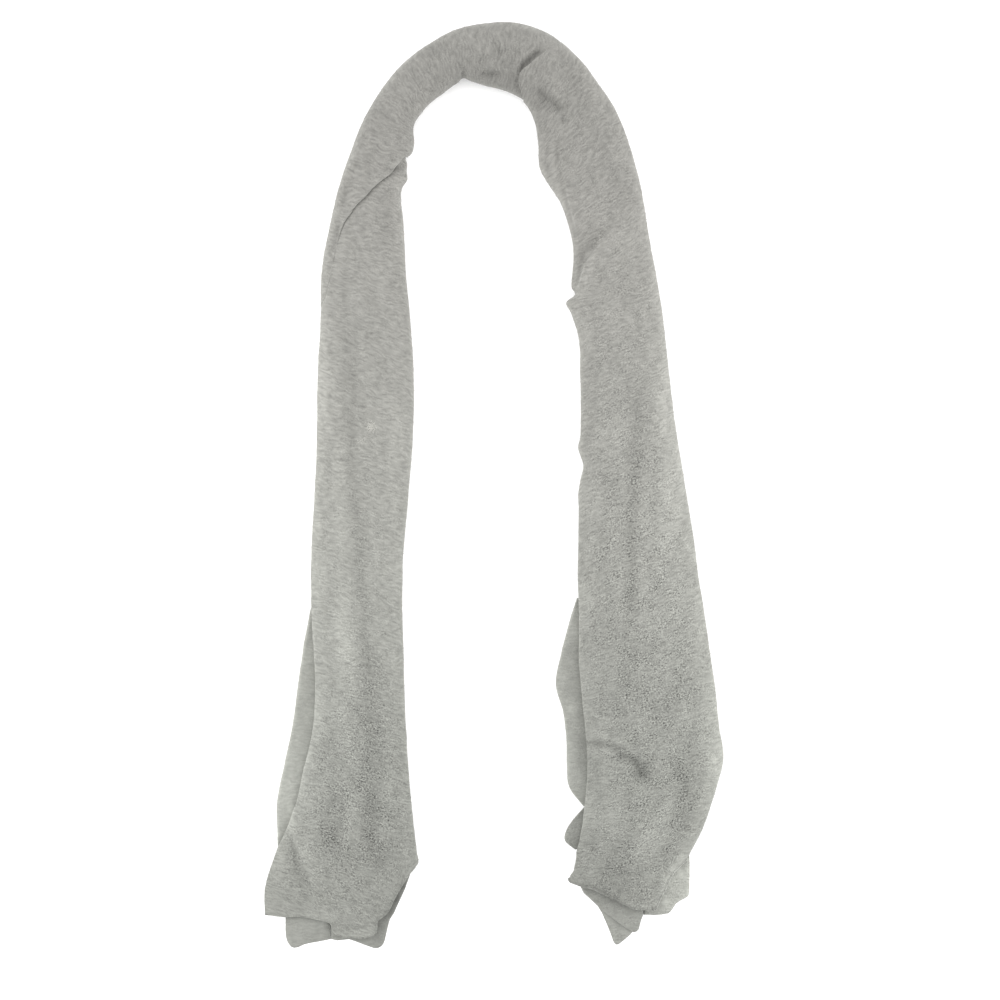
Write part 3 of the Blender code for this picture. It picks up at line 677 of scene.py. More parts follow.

# %% [markdown]
# # From a grid of points to cloth
# Every sheet is a grid of points on its outer face. Solidify gives it the cloth's thickness on the inside.
# The grid also carries the UV map and the two painted attributes. Felt is never evenly coloured, and lighter
# and darker patches are listed with their places and painted in: some are the felt's own mottling and the
# pale tuft, many are painted shade in hollows, gaps and under edges, or painted highlights on rounded edges.

# %% Painted shade, painted highlights and mottled patches
Patch = namedtuple("Patch", "x y reach_x reach_y lighter")
SHADE_LIGHT_AND_MOTTLE_ROWS = [
    # many rows are painted shade in creases, gaps and under overlapping edges, or painted highlights on
    # rounded edges and fold lips; the rest are the felt's own mottling and the pale tuft
    # where its middle is, how far it reaches each way, and how much lighter it is there
    # left leg, upwards
    (-128, -448, 14, 7, 0.09), (-142, -446.5, 18, 2.4, 0.12), (-160, -445, 7, 3, 0.10),
    (-146, -440.5, 18, 2.4, -0.12), (-182, -436, 16, 4, 0.08), (-106, -431, 4, 4, -0.10),
    (-168, -430, 14, 8, 0.09), (-195, -427.5, 26, 2, 0.10), (-102, -425, 3.5, 5, -0.20),
    (-96.5, -413.5, 3.5, 6, -0.36), (-105, -404, 6, 12, 0.08), (-90, -400.5, 3.5, 5, -0.34),
    (-178, -392, 7, 7, 0.12), (-118, -390, 6, 7, -0.10), (-110, -374, 8, 8, -0.13),
    (-136, -362, 5, 6, 0.09), (-186, -360, 6, 14, 0.09), (-158, -353, 11, 15, -0.13),
    (-122, -338, 6, 24, -0.11), (-160, -336, 9, 14, -0.05), (-110, -335, 5, 8, 0.11),
    (-138, -330, 6, 18, 0.10), (-203, -326, 4, 20, 0.10), (-133, -321, 5, 7, 0.13),
    (-206, -320, 4, 8, 0.10), (-206, -308, 9, 26, 0.18), (-130, -308, 6, 7, 0.15), (-130, -307, 5, 6, 0.07),
    (-96, -306, 6, 6, -0.12), (-201, -298, 4, 6, 0.09), (-194, -294, 6, 7, 0.10), (-122, -292, 6, 7, 0.12),
    (-194, -279, 7, 9, 0.18), (-185, -268, 7, 9, 0.16), (-172, -250, 7, 9, 0.08), (-172, -242, 7, 8, 0.12),
    (-122, -242, 6, 8, 0.10), (-172, -217, 7, 18, 0.13), (-166, -189, 6, 9, 0.12),
    (-146, -148, 8, 38, 0.12), (-174, -113, 5, 9, 0.08), (-174, -90, 7, 60, 0.12), (-99, -80, 8, 80, 0.08),
    (-143, -70, 8, 50, 0.08), (-172, -46, 5, 8, 0.08), (-136, -30, 6, 9, 0.08), (-150, 20, 8, 26, 0.10),
    (-94, 46, 8, 24, 0.08), (-130, 46, 6, 2.4, 0.14), (-122, 58.5, 3.2, 2.4, 0.12), (-144, 80, 6, 8, 0.06),
    (-147, 93, 8, 9, 0.13), (-167, 95, 7, 50, 0.11), (-162, 214, 6, 8, 0.10), (-163, 222, 2.2, 9, -0.09),
    (-160, 232, 8, 14, 0.10), (-159.5, 238, 2.4, 10, -0.22), (-156, 254, 2.4, 10, -0.2),
    (-118, 301, 6, 4, 0.08), (-96, 318, 6, 4, 0.20),
    # neck, from left to right
    (-148, 293, 8, 14, -0.10), (-116, 374, 12, 12, -0.09), (-104, 300, 18, 6, 0.06),
    (-99, 313.5, 8, 2.6, -0.16), (-97, 306, 9, 2.8, 0.14), (-64, 432, 14, 8, -0.10), (-3, 408, 9, 4, -0.26),
    (5, 431, 3, 9, -0.12), (12, 404, 14, 9, -0.07), (18, 419, 12, 3, -0.12), (30, 404, 6, 4, 0.12),
    (33, 416, 5, 3, 0.12), (41, 422, 4, 3, 0.10), (48, 381, 8, 8, -0.13), (56, 330, 7, 26, 0.10),
    (66, 374, 9, 6, -0.10), (67, 285, 7, 24, 0.10), (70, 363, 6, 5, -0.28), (86, 220, 5, 20, -0.03),
    (96, 219, 3, 12, 0.09), (106, 240, 4, 10, 0.05),
    # right leg, downwards
    (144, 131, 6, 7, -0.09), (140, 90, 6, 9, 0.09), (168, 87, 8, 50, 0.10), (182, -4, 9, 40, 0.10),
    (94, -8, 8, 26, 0.08), (150, -12, 7, 40, 0.10), (138, -54, 5, 8, 0.11), (192, -59, 6, 7, 0.10),
    (160, -75, 5, 7, 0.06), (166, -82, 6, 9, 0.14), (147, -88, 7, 40, 0.10), (98, -92, 5, 8, 0.11),
    (90, -119, 8, 26, 0.11), (204, -140, 8, 26, 0.10), (82, -144, 5, 8, 0.12), (136, -146, 6, 8, 0.11),
    (114, -181, 6, 7, -0.12), (106, -195, 6, 6, -0.10), (160, -199, 5, 6, 0.08), (130, -200, 14, 26, -0.10),
    (166, -206, 6, 7, 0.12), (215, -216, 8, 26, 0.09), (79, -221, 6, 9, 0.24), (110, -234, 8, 8, 0.20),
    (164, -237, 6, 6, 0.08), (81, -243, 5, 7, 0.10), (208, -252, 6, 8, 0.18), (128, -252, 7, 5, 0.13),
    (204, -254, 5, 7, 0.06), (102, -256, 12, 3, -0.24), (116, -259, 8, 2.6, -0.26),
    (87, -262, 5, 22, -0.16), (125, -263, 6, 2.8, -0.22), (114, -263, 7, 2.5, 0.10),
    (127, -268, 2.5, 5, 0.12), (130, -268.5, 9, 2.4, -0.28), (139, -271.5, 4, 3, -0.24),
    (212, -275, 5, 6, 0.10), (219, -278, 9, 18, 0.20), (148, -283, 8, 9, -0.32), (91, -312, 7, 18, 0.11),
    (96, -313, 5, 7, 0.10), (162, -321, 5, 6, 0.08), (148, -336, 6, 7, 0.10), (84, -338, 6, 10, 0.08),
    (97, -356, 10, 10, -0.09), (118, -372, 8, 5, -0.10), (186, -372, 5, 5, 0.20), (178.5, -381, 4, 5, 0.26),
    (124, -382, 15, 10, -0.17), (149, -382, 10, 8, -0.12), (185, -385, 3.5, 4, 0.22),
    (188, -388, 4, 5, 0.30), (172.5, -391, 4, 6, 0.30), (179, -396, 4, 8, 0.10), (176, -398, 4, 5, 0.14),
    (124, -399, 8, 6, -0.10), (169, -402, 4, 6, 0.28), (102, -409, 7, 4, 0.12), (163, -414, 5, 5, 0.20),
    (172, -414, 4.5, 6, 0.36), (148, -419, 10, 2.5, 0.14), (158, -426, 9, 2.5, -0.12),
]
SHADE_LIGHT_AND_MOTTLE_PATCHES = [Patch(*row) for row in SHADE_LIGHT_AND_MOTTLE_ROWS]
print("patches:", len(SHADE_LIGHT_AND_MOTTLE_PATCHES), "the darkest", min(patch.lighter for patch in SHADE_LIGHT_AND_MOTTLE_PATCHES))

# %% Painting tone and grain
SHADE_ON_THE_SIDE = 0.2  # painted shade: how much darker the felt is drawn where a fold turns down
GRIT_WHERE_DARK = 1.4  # how many times more grain a patch has than it is darker
LEAST_GRAIN = 0.03
print("a patch 0.1 darker has", 1 + 0.1 * GRIT_WHERE_DARK, "times the grain")


def patched(points, tone, grain):
    """Tone and grain with the patches: a darker one is grittier too."""
    x, y = points[..., 0], points[..., 1]
    lighter = np.zeros_like(x)
    for patch in SHADE_LIGHT_AND_MOTTLE_PATCHES:
        near = ((x - patch.x) / patch.reach_x) ** 2 + ((y - patch.y) / patch.reach_y) ** 2
        lighter += patch.lighter * np.exp(-near)
    upright = 1 - np.clip(grid_normals(points)[..., 2], 0, 1)
    # painted shade on the sides that turn down, the more the steeper they are
    tone = tone * (1 + lighter) * (1 - SHADE_ON_THE_SIDE * upright**2)
    return tone, np.clip(grain * (1 - GRIT_WHERE_DARK * lighter), LEAST_GRAIN, 1)


# %% Making a sheet
WALL = 1.3  # the felt and its nap, in mm
LOOSE_WALL = 1.2  # a loose layer, less brushed
FOLD_WALL = 1.1  # a pressed fold


def lengths_across(points):
    """How far along its row each point is from the row's middle."""
    u = np.concatenate([np.zeros((len(points), 1)), np.cumsum(steps_between(points, 1), axis=1)], axis=1)
    return u - u[:, [points.shape[1] // 2]]


ARC_ROWS, ARC_COLUMNS = 400, 121
arc_along = np.linspace(-HEM_REACH, END + HEM_REACH, ARC_ROWS)[:, None]
arc_along, arc_place = np.broadcast_arrays(arc_along, np.linspace(-1, 2, ARC_COLUMNS))
ARCS = lengths_across(section(arc_along, arc_place))
print("the section is", round(float(np.ptp(ARCS, axis=1).max())), "mm round at its widest")

# the cloth is pulled askew, down towards the opening: distance along, and how much its crosswise lines lean
LEAN = [
    (0, 0.22), (200, 0.24), (400, 0.26), (520, 0.34), (600, 0.30), (700, 0.0), (980, 0.0), (1080, -0.22),
    (1250, -0.30), (1400, -0.32), (1600, -0.20), (1775, -0.10),
]


def cloth_map(points, along, place):
    """The cloth's own map in mm: u round the section from its middle, v along the stole, leaning. Past the
    last ribs v goes on in true length. It is the same for every stretch, so the crinkle runs on through
    them."""
    row = np.clip((along + HEM_REACH) / (END + 2 * HEM_REACH), 0, 1) * (ARC_ROWS - 1)
    column = (place + 1) / 3 * (ARC_COLUMNS - 1)
    i = np.minimum(row.astype(int), ARC_ROWS - 2)
    j = np.minimum(column.astype(int), ARC_COLUMNS - 2)
    low = ARCS[i, j] + (ARCS[i + 1, j] - ARCS[i, j]) * (row - i)
    high = ARCS[i, j + 1] + (ARCS[i + 1, j + 1] - ARCS[i, j + 1]) * (row - i)
    u = low + (high - low) * (column - j)
    rows = np.array(LEAN, float)
    return u, true_lengths(points, along) + u * smooth(rows[:, 0], rows[:, 1], along)


def true_lengths(points, along):
    """Distance along the stole, in true length past the first and the last rib too."""
    rib = RIBS[0 if along[0, 0] < 0 else -1]
    share = np.clip((points[..., 0] - rib[0]) / (rib[2] - rib[0]), 0, 1)
    past = points[..., 1] - (rib[1] + (rib[3] - rib[1]) * share)
    v = np.where(along < 0, np.minimum(past, 0), along)
    return np.where(along > END, END - np.minimum(past, 0), v)


# %% From points to a sheet with its wall
NAP_FLAT, NAP_STEEP = 0.35, 1.5  # how densely hairs stand on flat cloth, and how much denser on steep cloth
NAP_CLEAR = 6  # mm above the table, below which no hair stands


def make_sheet(name, points, u, v, material, tone, grain, wall=WALL, thins=None):
    """A sheet of cloth from a grid of points in mm, with its map, its painted tone and grain, and where its
    nap stands. Thins is the share of the full wall that each point has, where it is not 1 all over."""
    rows, columns = points.shape[:2]
    facing_up = grid_normals(points)[..., 2]
    steep = 1 - np.clip(facing_up, 0, 1)
    nap = ease(facing_up * 4) * (NAP_FLAT + NAP_STEEP * steep) * ease((points[..., 2] - NAP_CLEAR) / 4)
    tone, grain = patched(points, tone, grain)
    mesh = bpy.data.meshes.new(name)
    index = np.arange(rows * columns).reshape(rows, columns)
    corners = index[:-1, :-1], index[:-1, 1:], index[1:, 1:], index[1:, :-1]
    faces = np.stack(corners, axis=-1).reshape(-1, 4)
    mesh.vertices.add(rows * columns)
    mesh.vertices.foreach_set("co", (points.reshape(-1, 3) * MM).ravel())
    mesh.loops.add(faces.size)
    mesh.loops.foreach_set("vertex_index", faces.ravel())
    mesh.polygons.add(len(faces))
    mesh.polygons.foreach_set("loop_start", np.arange(len(faces)) * 4)
    mesh.polygons.foreach_set("loop_total", np.full(len(faces), 4))
    mesh.update(calc_edges=True)
    layer = mesh.uv_layers.new(name="cloth")
    uv = np.stack([u.ravel(), v.ravel()], axis=-1)[faces.ravel()] * MM
    layer.data.foreach_set("uv", uv.ravel())
    for key, values in (("tone", tone), ("grain", grain), ("nap", nap)):
        at_points = np.broadcast_to(values, (rows, columns)).astype(np.float32).ravel()
        mesh.attributes.new(key, "FLOAT", "POINT").data.foreach_set("value", at_points)
    mesh.shade_smooth()
    mesh.materials.append(material)
    sheet = link_to_scene(name, mesh)
    solidify = sheet.modifiers.new("cloth thickness", "SOLIDIFY")
    solidify.thickness = wall * MM
    solidify.offset = -1.0  # all of it inwards from the outer face
    if thins is not None:
        group = sheet.vertex_groups.new(name="wall")
        full = np.round(np.broadcast_to(thins, (rows, columns)).ravel(), 2)
        for share in np.unique(full):
            group.add(np.flatnonzero(full == share).tolist(), float(share), "REPLACE")
        solidify.vertex_group = group.name
    return sheet


# %% [markdown]
# # Where one stretch lies over another
# The rope of the neck ends in a long diagonal fold over the left leg, and the right leg begins in a pinched
# fold over the rope. Both folds are given as distance along against share across. At such a fold the cloth
# is doubled: it rolls over a small radius and runs back under itself, which is what gives the fold its soft
# round lip and its fine dark line. The extra rows of that lip are set out from the last row along the normal
# and square to the edge.

# %% Fold lines and lips
# share across, and distance along there
ROLL_EDGE = [
    (0.00, 546), (0.10, 574), (0.15, 612), (0.26, 636), (0.44, 652), (0.60, 668), (0.72, 681), (0.85, 695),
    (1.00, 705),
]
PINCH_EDGE = [(0.00, 920), (0.25, 911), (0.42, 905), (0.57, 899), (0.70, 893), (0.84, 895), (1.00, 907)]
# share across, the radius of the fold there, and how far it stands up
ROLL_FOLD = [
    (0.0, 0.25, 0.0), (0.12, 0.25, 0.0), (0.20, 0.8, 0.8), (0.34, 1.6, 2.1), (0.94, 1.6, 2.1),
    (1.0, 0.8, 1.7),
]
PINCH_FOLD = [
    (0.0, 0.25, 0.0), (0.22, 0.25, 0.0), (0.38, 1.5, 1.7), (0.55, 1.9, 2.4), (0.94, 1.6, 2.0),
    (1.0, 0.8, 1.6),
]
TUCKED = 20.0  # how far the lower layer runs on under a fold
CLEARANCE = 0.25  # between the two layers at a fold
RISE_OVER = 45  # the upper layer comes down again over this far from its fold
PRESSED_RADIUS, UP_TO_FULL = 0.3, 0.6  # a fold this tight is a pressed seam, and this much rounder is full
SINK_START, SINK_OVER = 0.85, 11  # the lower layer is nearly down already at the fold line
LAYER_SINK, DEEPER_OVER = 1.3, 6  # how much deeper it lies this far on
UNDERSIDE_SINK = 0.9  # and how much deeper still where it turns in below
SEAM_WALL, SEAM_OVER = 0.16, 10  # the share of the full wall that a pressed seam keeps, and how far on
print("roll edge runs", ROLL_EDGE[-1][1] - ROLL_EDGE[0][1], "mm along the stole")

# %% How the two layers pass at a fold
def fold_values(table, share):
    """The fold's radius and how far it stands up, at each share of the way across."""
    rows = np.array(table, float)
    return [np.interp(share, rows[:, 0], rows[:, k]) for k in (1, 2)]


def how_thin(radius):
    """1 where a fold has pressed out to a thin seam, 0 where it is full."""
    return 1 - ease((radius - PRESSED_RADIUS) / UP_TO_FULL)


def over_fold_rise(past, share, table):
    """How far the upper layer stands out, this far past its fold line."""
    return fold_values(table, share)[1] * (1 - ease(past / RISE_OVER))


def under_fold_sink(past, share, table, place):
    """How far the lower layer is pressed in, this far past the fold line that lies over it. It is further on
    the underside, where the table keeps the upper layer from standing out."""
    radius, proud = fold_values(table, share)
    thin = how_thin(radius)
    below = ease((np.maximum(place - 1, -place) + 0.1) / 0.5)
    make_room = 2 * radius - proud + CLEARANCE * (1 - 0.7 * thin)
    deeper = (LAYER_SINK - 0.3 * ease(proud)) * ease((past - 2 * thin) / DEEPER_OVER)
    deeper = deeper + UNDERSIDE_SINK * below * ease(past / 4 + 0.6)
    return -make_room * ease(past / SINK_OVER + SINK_START) - deeper


def wall_share(past, share, table, lip_rows):
    """The share of the full wall that the upper layer has this far past its fold line."""
    seam = how_thin(fold_values(table, share)[0]) * (1 - ease(past / SEAM_OVER))
    walls = 1 - (1 - SEAM_WALL) * seam
    return np.concatenate([walls[:1]] * lip_rows + [walls])


middle_fold = [round(float(value), 2) for value in fold_values(ROLL_FOLD, 0.5)]
print("the roll's fold in the middle: radius and rise", middle_fold, "mm")

# %% Rolled lips
LIP_STEPS = 8
LIP_RETURN = 6.0  # how far a full fold runs back under itself
SHORT_RETURN = 1.0  # and a pressed one
PRESSED_TURN = 0.13  # the share of a half turn that a pressed fold makes
INNER_SIDE, INNER_OVER = 0.8, 0.12  # the share across from which a fold runs back less, and over how much
INNER_LESS = 0.8  # how much less, of 1


def add_lip(points, profile, at_end):
    """Rows beyond an edge of the grid. The profile is rows of (out, up) in mm, each a number or one to a
    column."""
    edge, inside = (points[-1], points[-3]) if at_end else (points[0], points[2])
    normals = grid_normals(points)[-2 if at_end else 1]
    tangent = unit(np.gradient(edge, axis=0))
    outwards = unit(np.cross(normals, tangent))
    flip = np.sign(((edge - inside) * outwards).sum(-1, keepdims=True))
    outwards = outwards * np.where(flip == 0, 1, flip)
    rows = [edge + outwards * np.reshape(out, (-1, 1)) + normals * np.reshape(up, (-1, 1))
            for out, up in profile]
    return np.concatenate([points, rows] if at_end else [rows[::-1], points])


def fold_profile(radius, place):
    """A fold: half round downwards, then back under itself. Where its radius is small it only turns down, and
    on the inner side, where the stretches curve most, it runs back less."""
    full = 1 - how_thin(radius)
    turn = math.pi * (PRESSED_TURN + (1 - PRESSED_TURN) * full)
    angles = [turn * k / LIP_STEPS for k in range(1, LIP_STEPS + 1)]
    rows = [(radius * np.sin(angle), -radius * (1 - np.cos(angle))) for angle in angles]
    less = 1 - INNER_LESS * ease((place - INNER_SIDE) / INNER_OVER)
    back = SHORT_RETURN + (LIP_RETURN - SHORT_RETURN) * full * less
    out, up = rows[-1]
    return rows + [(out + np.cos(turn) * back * k / 3, up - np.sin(turn) * back * k / 3) for k in (1, 2, 3)]


def hem_profile(radius, turn):
    """A hem that curls up: an arc of this radius through this angle, both one per column."""
    shares = np.linspace(0, 1, LIP_STEPS)[1:]
    return [(radius * np.sin(turn * s), radius * (1 - np.cos(turn * s))) for s in shares]


print("rows in a fold's lip:", len(fold_profile(np.ones(1), np.zeros(1))))

# %% [markdown]
# # Tone and grain
# The felt is drawn darker at the gathered neck and near the two ends. Both are short tables, along the
# stole and across it: the folded edges are painted paler, a painted highlight on the rounded sides, and are
# calmer than the flat middle; the inner side of the neck is painted darker, painted shade where it faces
# into the opening.

# %% Painted values along the stole
ACROSS = [0.0, 0.05, 0.15, 0.3, 0.5, 0.7, 0.85, 0.95, 1.0]
TONE_LIGHT_AND_SHADE_TABLE = [
    # distance along, then the tone at each place of ACROSS; the paler outer columns of the legs are painted
    # light on their rounded edges, and the low inner values at 880 are painted shade on the neck's inner side
    (-60, 0.95, 0.93, 0.87, 0.92, 0.90, 0.87, 0.88, 0.95, 1.00),
    (20, 1.08, 1.06, 0.96, 0.89, 0.88, 0.86, 0.88, 0.91, 0.93),
    (110, 1.09, 1.05, 0.94, 1.00, 0.95, 0.93, 0.96, 0.99, 1.00),
    (200, 1.07, 1.06, 1.04, 1.09, 1.08, 1.00, 1.02, 1.05, 1.05),
    (310, 1.09, 1.10, 1.10, 1.08, 1.05, 1.05, 1.05, 1.06, 1.07),
    (410, 1.10, 1.11, 1.08, 1.03, 1.02, 1.04, 1.05, 1.03, 1.03),
    (500, 1.08, 1.08, 1.02, 1.00, 0.99, 1.00, 1.02, 1.01, 1.01),
    (610, 0.94, 0.96, 0.95, 0.95, 0.94, 0.95, 0.96, 0.96, 0.96),
    (760, 0.82, 0.82, 0.84, 0.86, 0.87, 0.87, 0.86, 0.84, 0.83),
    (880, 0.87, 0.86, 0.86, 0.85, 0.82, 0.77, 0.72, 0.70, 0.71),
    (960, 0.87, 0.86, 0.87, 0.86, 0.86, 0.86, 0.86, 0.87, 0.87),
    (1090, 0.99, 0.98, 0.95, 0.95, 0.95, 0.94, 0.93, 0.95, 0.97),
    (1200, 1.06, 1.06, 1.03, 0.98, 0.99, 0.98, 0.99, 1.02, 1.03),
    (1290, 1.14, 1.13, 1.07, 1.01, 1.00, 1.01, 1.00, 1.01, 1.03),
    (1390, 1.12, 1.12, 1.10, 1.08, 1.01, 1.00, 1.00, 1.01, 1.03),
    (1520, 1.18, 1.11, 1.00, 1.00, 0.97, 0.95, 0.95, 0.97, 0.98),
    (1610, 1.24, 1.16, 0.97, 0.95, 0.93, 0.92, 0.93, 0.94, 0.95),
    (1700, 1.05, 1.00, 0.92, 0.99, 0.98, 0.93, 0.92, 0.93, 0.92),
    (1775, 1.09, 1.08, 0.98, 0.87, 0.85, 0.80, 0.82, 0.89, 0.95),
    (1830, 1.12, 1.10, 1.00, 0.90, 0.88, 0.84, 0.85, 0.92, 0.98),
]
GRAIN_TABLE = [
    (-60, 0.14, 0.16, 0.20, 0.26, 0.28, 0.28, 0.26, 0.20, 0.16),
    (-25, 0.22, 0.28, 0.40, 0.54, 0.60, 0.56, 0.44, 0.30, 0.25),
    (100, 0.20, 0.28, 0.45, 0.62, 0.70, 0.68, 0.50, 0.30, 0.22),
    (200, 0.12, 0.16, 0.25, 0.33, 0.38, 0.34, 0.26, 0.18, 0.14),
    (330, 0.09, 0.13, 0.20, 0.22, 0.26, 0.24, 0.20, 0.16, 0.13),
    (500, 0.06, 0.08, 0.12, 0.13, 0.13, 0.13, 0.13, 0.11, 0.10),
    (700, 0.08, 0.08, 0.11, 0.13, 0.16, 0.20, 0.24, 0.28, 0.30),
    (900, 0.10, 0.12, 0.15, 0.18, 0.20, 0.22, 0.26, 0.20, 0.15),
    (1050, 0.08, 0.14, 0.20, 0.24, 0.26, 0.24, 0.16, 0.05, 0.04),
    (1200, 0.10, 0.18, 0.28, 0.34, 0.36, 0.34, 0.28, 0.20, 0.14),
    (1400, 0.15, 0.25, 0.48, 0.62, 0.62, 0.58, 0.45, 0.28, 0.18),
    (1600, 0.20, 0.32, 0.55, 0.70, 0.72, 0.65, 0.50, 0.30, 0.22),
    (1775, 0.20, 0.30, 0.48, 0.60, 0.60, 0.52, 0.42, 0.30, 0.24),
    (1830, 0.14, 0.18, 0.24, 0.30, 0.32, 0.30, 0.26, 0.20, 0.16),
]
print("tone from", min(min(row[1:]) for row in TONE_LIGHT_AND_SHADE_TABLE), "to", max(max(row[1:]) for row in TONE_LIGHT_AND_SHADE_TABLE))

# %% Reading the painted tables
IN_A_VALLEY = 0.042  # painted shade in a crease and painted light on a ridge: how much the felt's tone changes for each mm that a crease presses it in or lifts it
GRIT_IN_A_VALLEY = 0.1  # and how much grittier
DEEPEST, HIGHEST = -4, 2  # mm, past which a crease makes no more difference


def painted(table, along, share, before=0, after=0):
    """A table's values at each point, with lip rows added before and after."""
    rows = np.array(table, float)
    along = np.concatenate([along[:1]] * before + [along] + [along[-1:]] * after)
    at_place = smooth(rows[:, 0], rows[:, 1:], along)
    at = np.interp(share, ACROSS, np.arange(len(ACROSS)))
    low = np.minimum(at.astype(int), len(ACROSS) - 2)
    columns = np.arange(len(share))
    start, finish = at_place[:, columns, low], at_place[:, columns, low + 1]
    return start + (finish - start) * ease(at - low)


def shaded(along, share, pressed, before=0, after=0):
    """Tone and grain: the tables', with painted shade and more grit in the valleys of the creases and painted
    light on their ridges.
    """
    pressed = np.concatenate([pressed[:1]] * before + [pressed] + [pressed[-1:]] * after)
    pressed = np.clip(pressed, DEEPEST, HIGHEST)
    tone = painted(TONE_LIGHT_AND_SHADE_TABLE, along, share, before, after) * (1 + IN_A_VALLEY * pressed)
    return tone, painted(GRAIN_TABLE, along, share, before, after) * (1 - GRIT_IN_A_VALLEY * pressed)


neck_middle = painted(TONE_LIGHT_AND_SHADE_TABLE, np.full((1, 1), END / 2), np.array([0.5]))
print("tone in the middle of the neck", round(float(neck_middle[0, 0]), 3))


# %% [markdown]
# # The three long stretches
# The left fall, the rope round the neck and the right fall are made by the same steps: set out the rows from
# where the stretch begins to where it ends, take the points on the section, press in the creases and the
# crinkle, raise it where it lies over its neighbour or sink it where it lies under, and add its lips.

# %% Making a stretch
UNDER_COLUMNS = 8  # columns of points on each turned-in side
HEM_RADIUS = 0.5  # mm that a raw hem curls up on
CRINKLE_BELOW = 0.35  # how strong the crinkle is where a side turns down, of 1 on top


def columns_across(top):
    """The places that the columns stand at, with this many on top, the share of the way across of each, and
    how far along the stole the roll's fold and the pinched fold cross it."""
    place = places(UNDER_COLUMNS, top)
    share = across_share(place)
    crossed = []
    for edge in (ROLL_EDGE, PINCH_EDGE):
        rows = np.array(edge, float)
        crossed.append(smooth(rows[:, 0], rows[:, 1], share))
    return place, share, *crossed


def stretch_grid(begin, finish, rows, across, closer=0.0):
    """Distances along, one row after the other, from begin to finish, which have one value to a column. The
    rows can lie closer towards the finish."""
    t = np.linspace(0, 1, rows)[:, None]
    t = t + closer * t * (1 - t)
    return begin[None] + (finish - begin)[None] * t, np.broadcast_to(across, (rows, len(across)))


def pressed_surface(along, place, creases, lift):
    """The outer face with its creases, its crinkle and its lift, the map that the crinkle follows, and how
    far the creases press."""
    flat = section(along, place)
    normals = grid_normals(flat)
    u, v = cloth_map(flat, along, place)
    on_top = ease((normals[..., 2] + 0.1) / 0.6)
    off_table = ease((normals[..., 2] + 1.0) / 0.8)
    pressed = relief(flat, creases) * on_top
    crinkled = crinkle(u, v) * (CRINKLE_BELOW + (1 - CRINKLE_BELOW) * on_top) * off_table
    height = pressed + crinkled + np.where(lift < 0, lift, lift * off_table)
    return flat + normals * height[..., None], u, v, pressed


def extend_map(u, v, before, after, step=1.0):
    """The map for a grid with lip rows added before and after."""
    u = np.concatenate([u[:1]] * before + [u] + [u[-1:]] * after)
    first = [v[:1] - step * (before - k) for k in range(before)]
    last = [v[-1:] + step * (k + 1) for k in range(after)]
    return u, np.concatenate(first + [v] + last)


print("columns of the left fall:", len(columns_across(78)[0]))

# %% The left fall
place, share, roll_at, pinch_at = columns_across(78)
along, across = stretch_grid(np.full(len(place), -HEM_REACH), roll_at + TUCKED, 380, place, closer=0.3)
sink = under_fold_sink(along - roll_at, share, ROLL_FOLD, place)
points, u, v, pressed = pressed_surface(along, across, LEFT_CREASES, sink)
hem_turn = np.interp(share, [0, 0.3, 0.6, 1], [1.2, 0.9, 1.6, 0.6])  # radians, a little more here and there
hem_rows = hem_profile(np.full(len(place), HEM_RADIUS), hem_turn)
points = add_lip(points, hem_rows, at_end=False)
u, v = extend_map(u, v, len(hem_rows), 0, 0.3)
left_fall = make_sheet("left_fall_cloth", points, u, v, FACE, *shaded(along, share, pressed, len(hem_rows)))

# %% The rope round the neck
place, share, roll_at, pinch_at = columns_across(70)
radius = fold_values(ROLL_FOLD, share)[0]
along, across = stretch_grid(roll_at + radius, pinch_at + TUCKED, 200, place)
lift = over_fold_rise(along - roll_at, share, ROLL_FOLD)
lift = lift + under_fold_sink(along - pinch_at, share, PINCH_FOLD, place)
points, u, v, pressed = pressed_surface(along, across, NECK_CREASES, lift)
fold_rows = fold_profile(radius, place)
points = add_lip(points, fold_rows, at_end=False)
u, v = extend_map(u, v, len(fold_rows), 0)
neck_roll = make_sheet("neck_roll_cloth", points, u, v, FACE, *shaded(along, share, pressed, len(fold_rows)),
                       thins=wall_share(along - roll_at, share, ROLL_FOLD, len(fold_rows)))

# %% The right fall
place, share, roll_at, pinch_at = columns_across(84)
radius = fold_values(PINCH_FOLD, share)[0]
along, across = stretch_grid(pinch_at + radius, np.full(len(place), END + HEM_REACH), 410, place)
lift = over_fold_rise(along - pinch_at, share, PINCH_FOLD)
points, u, v, pressed = pressed_surface(along, across, RIGHT_CREASES, lift)
hem_turn = np.interp(share, [0, 0.5, 0.62, 0.8, 1], [1.3, 1.0, 1.4, 3.2, 1.6])
hem_radius = np.interp(share, [0, 0.62, 0.8, 1], [HEM_RADIUS, HEM_RADIUS, 1.2 * HEM_RADIUS, 1.2 * HEM_RADIUS])
hem_rows = hem_profile(hem_radius, hem_turn)
fold_rows = fold_profile(radius, place)
points = add_lip(points, fold_rows, at_end=False)
points = add_lip(points, hem_rows, at_end=True)
u, v = extend_map(u, v, len(fold_rows), len(hem_rows))
walls = wall_share(along - pinch_at, share, PINCH_FOLD, len(fold_rows))
walls = np.concatenate([walls, np.ones((len(hem_rows), len(place)))])
right_fall = make_sheet("right_fall_cloth", points, u, v, FACE,
                        *shaded(along, share, pressed, len(fold_rows), len(hem_rows)), thins=walls)

# %% [markdown]
# # Folds that show under the falls
# In the lower legs a second fold lies under the first and peeps out beside it. It is a doubled layer: flat
# above, round at its fold, flat below. Its table says how far it shows at each distance along.

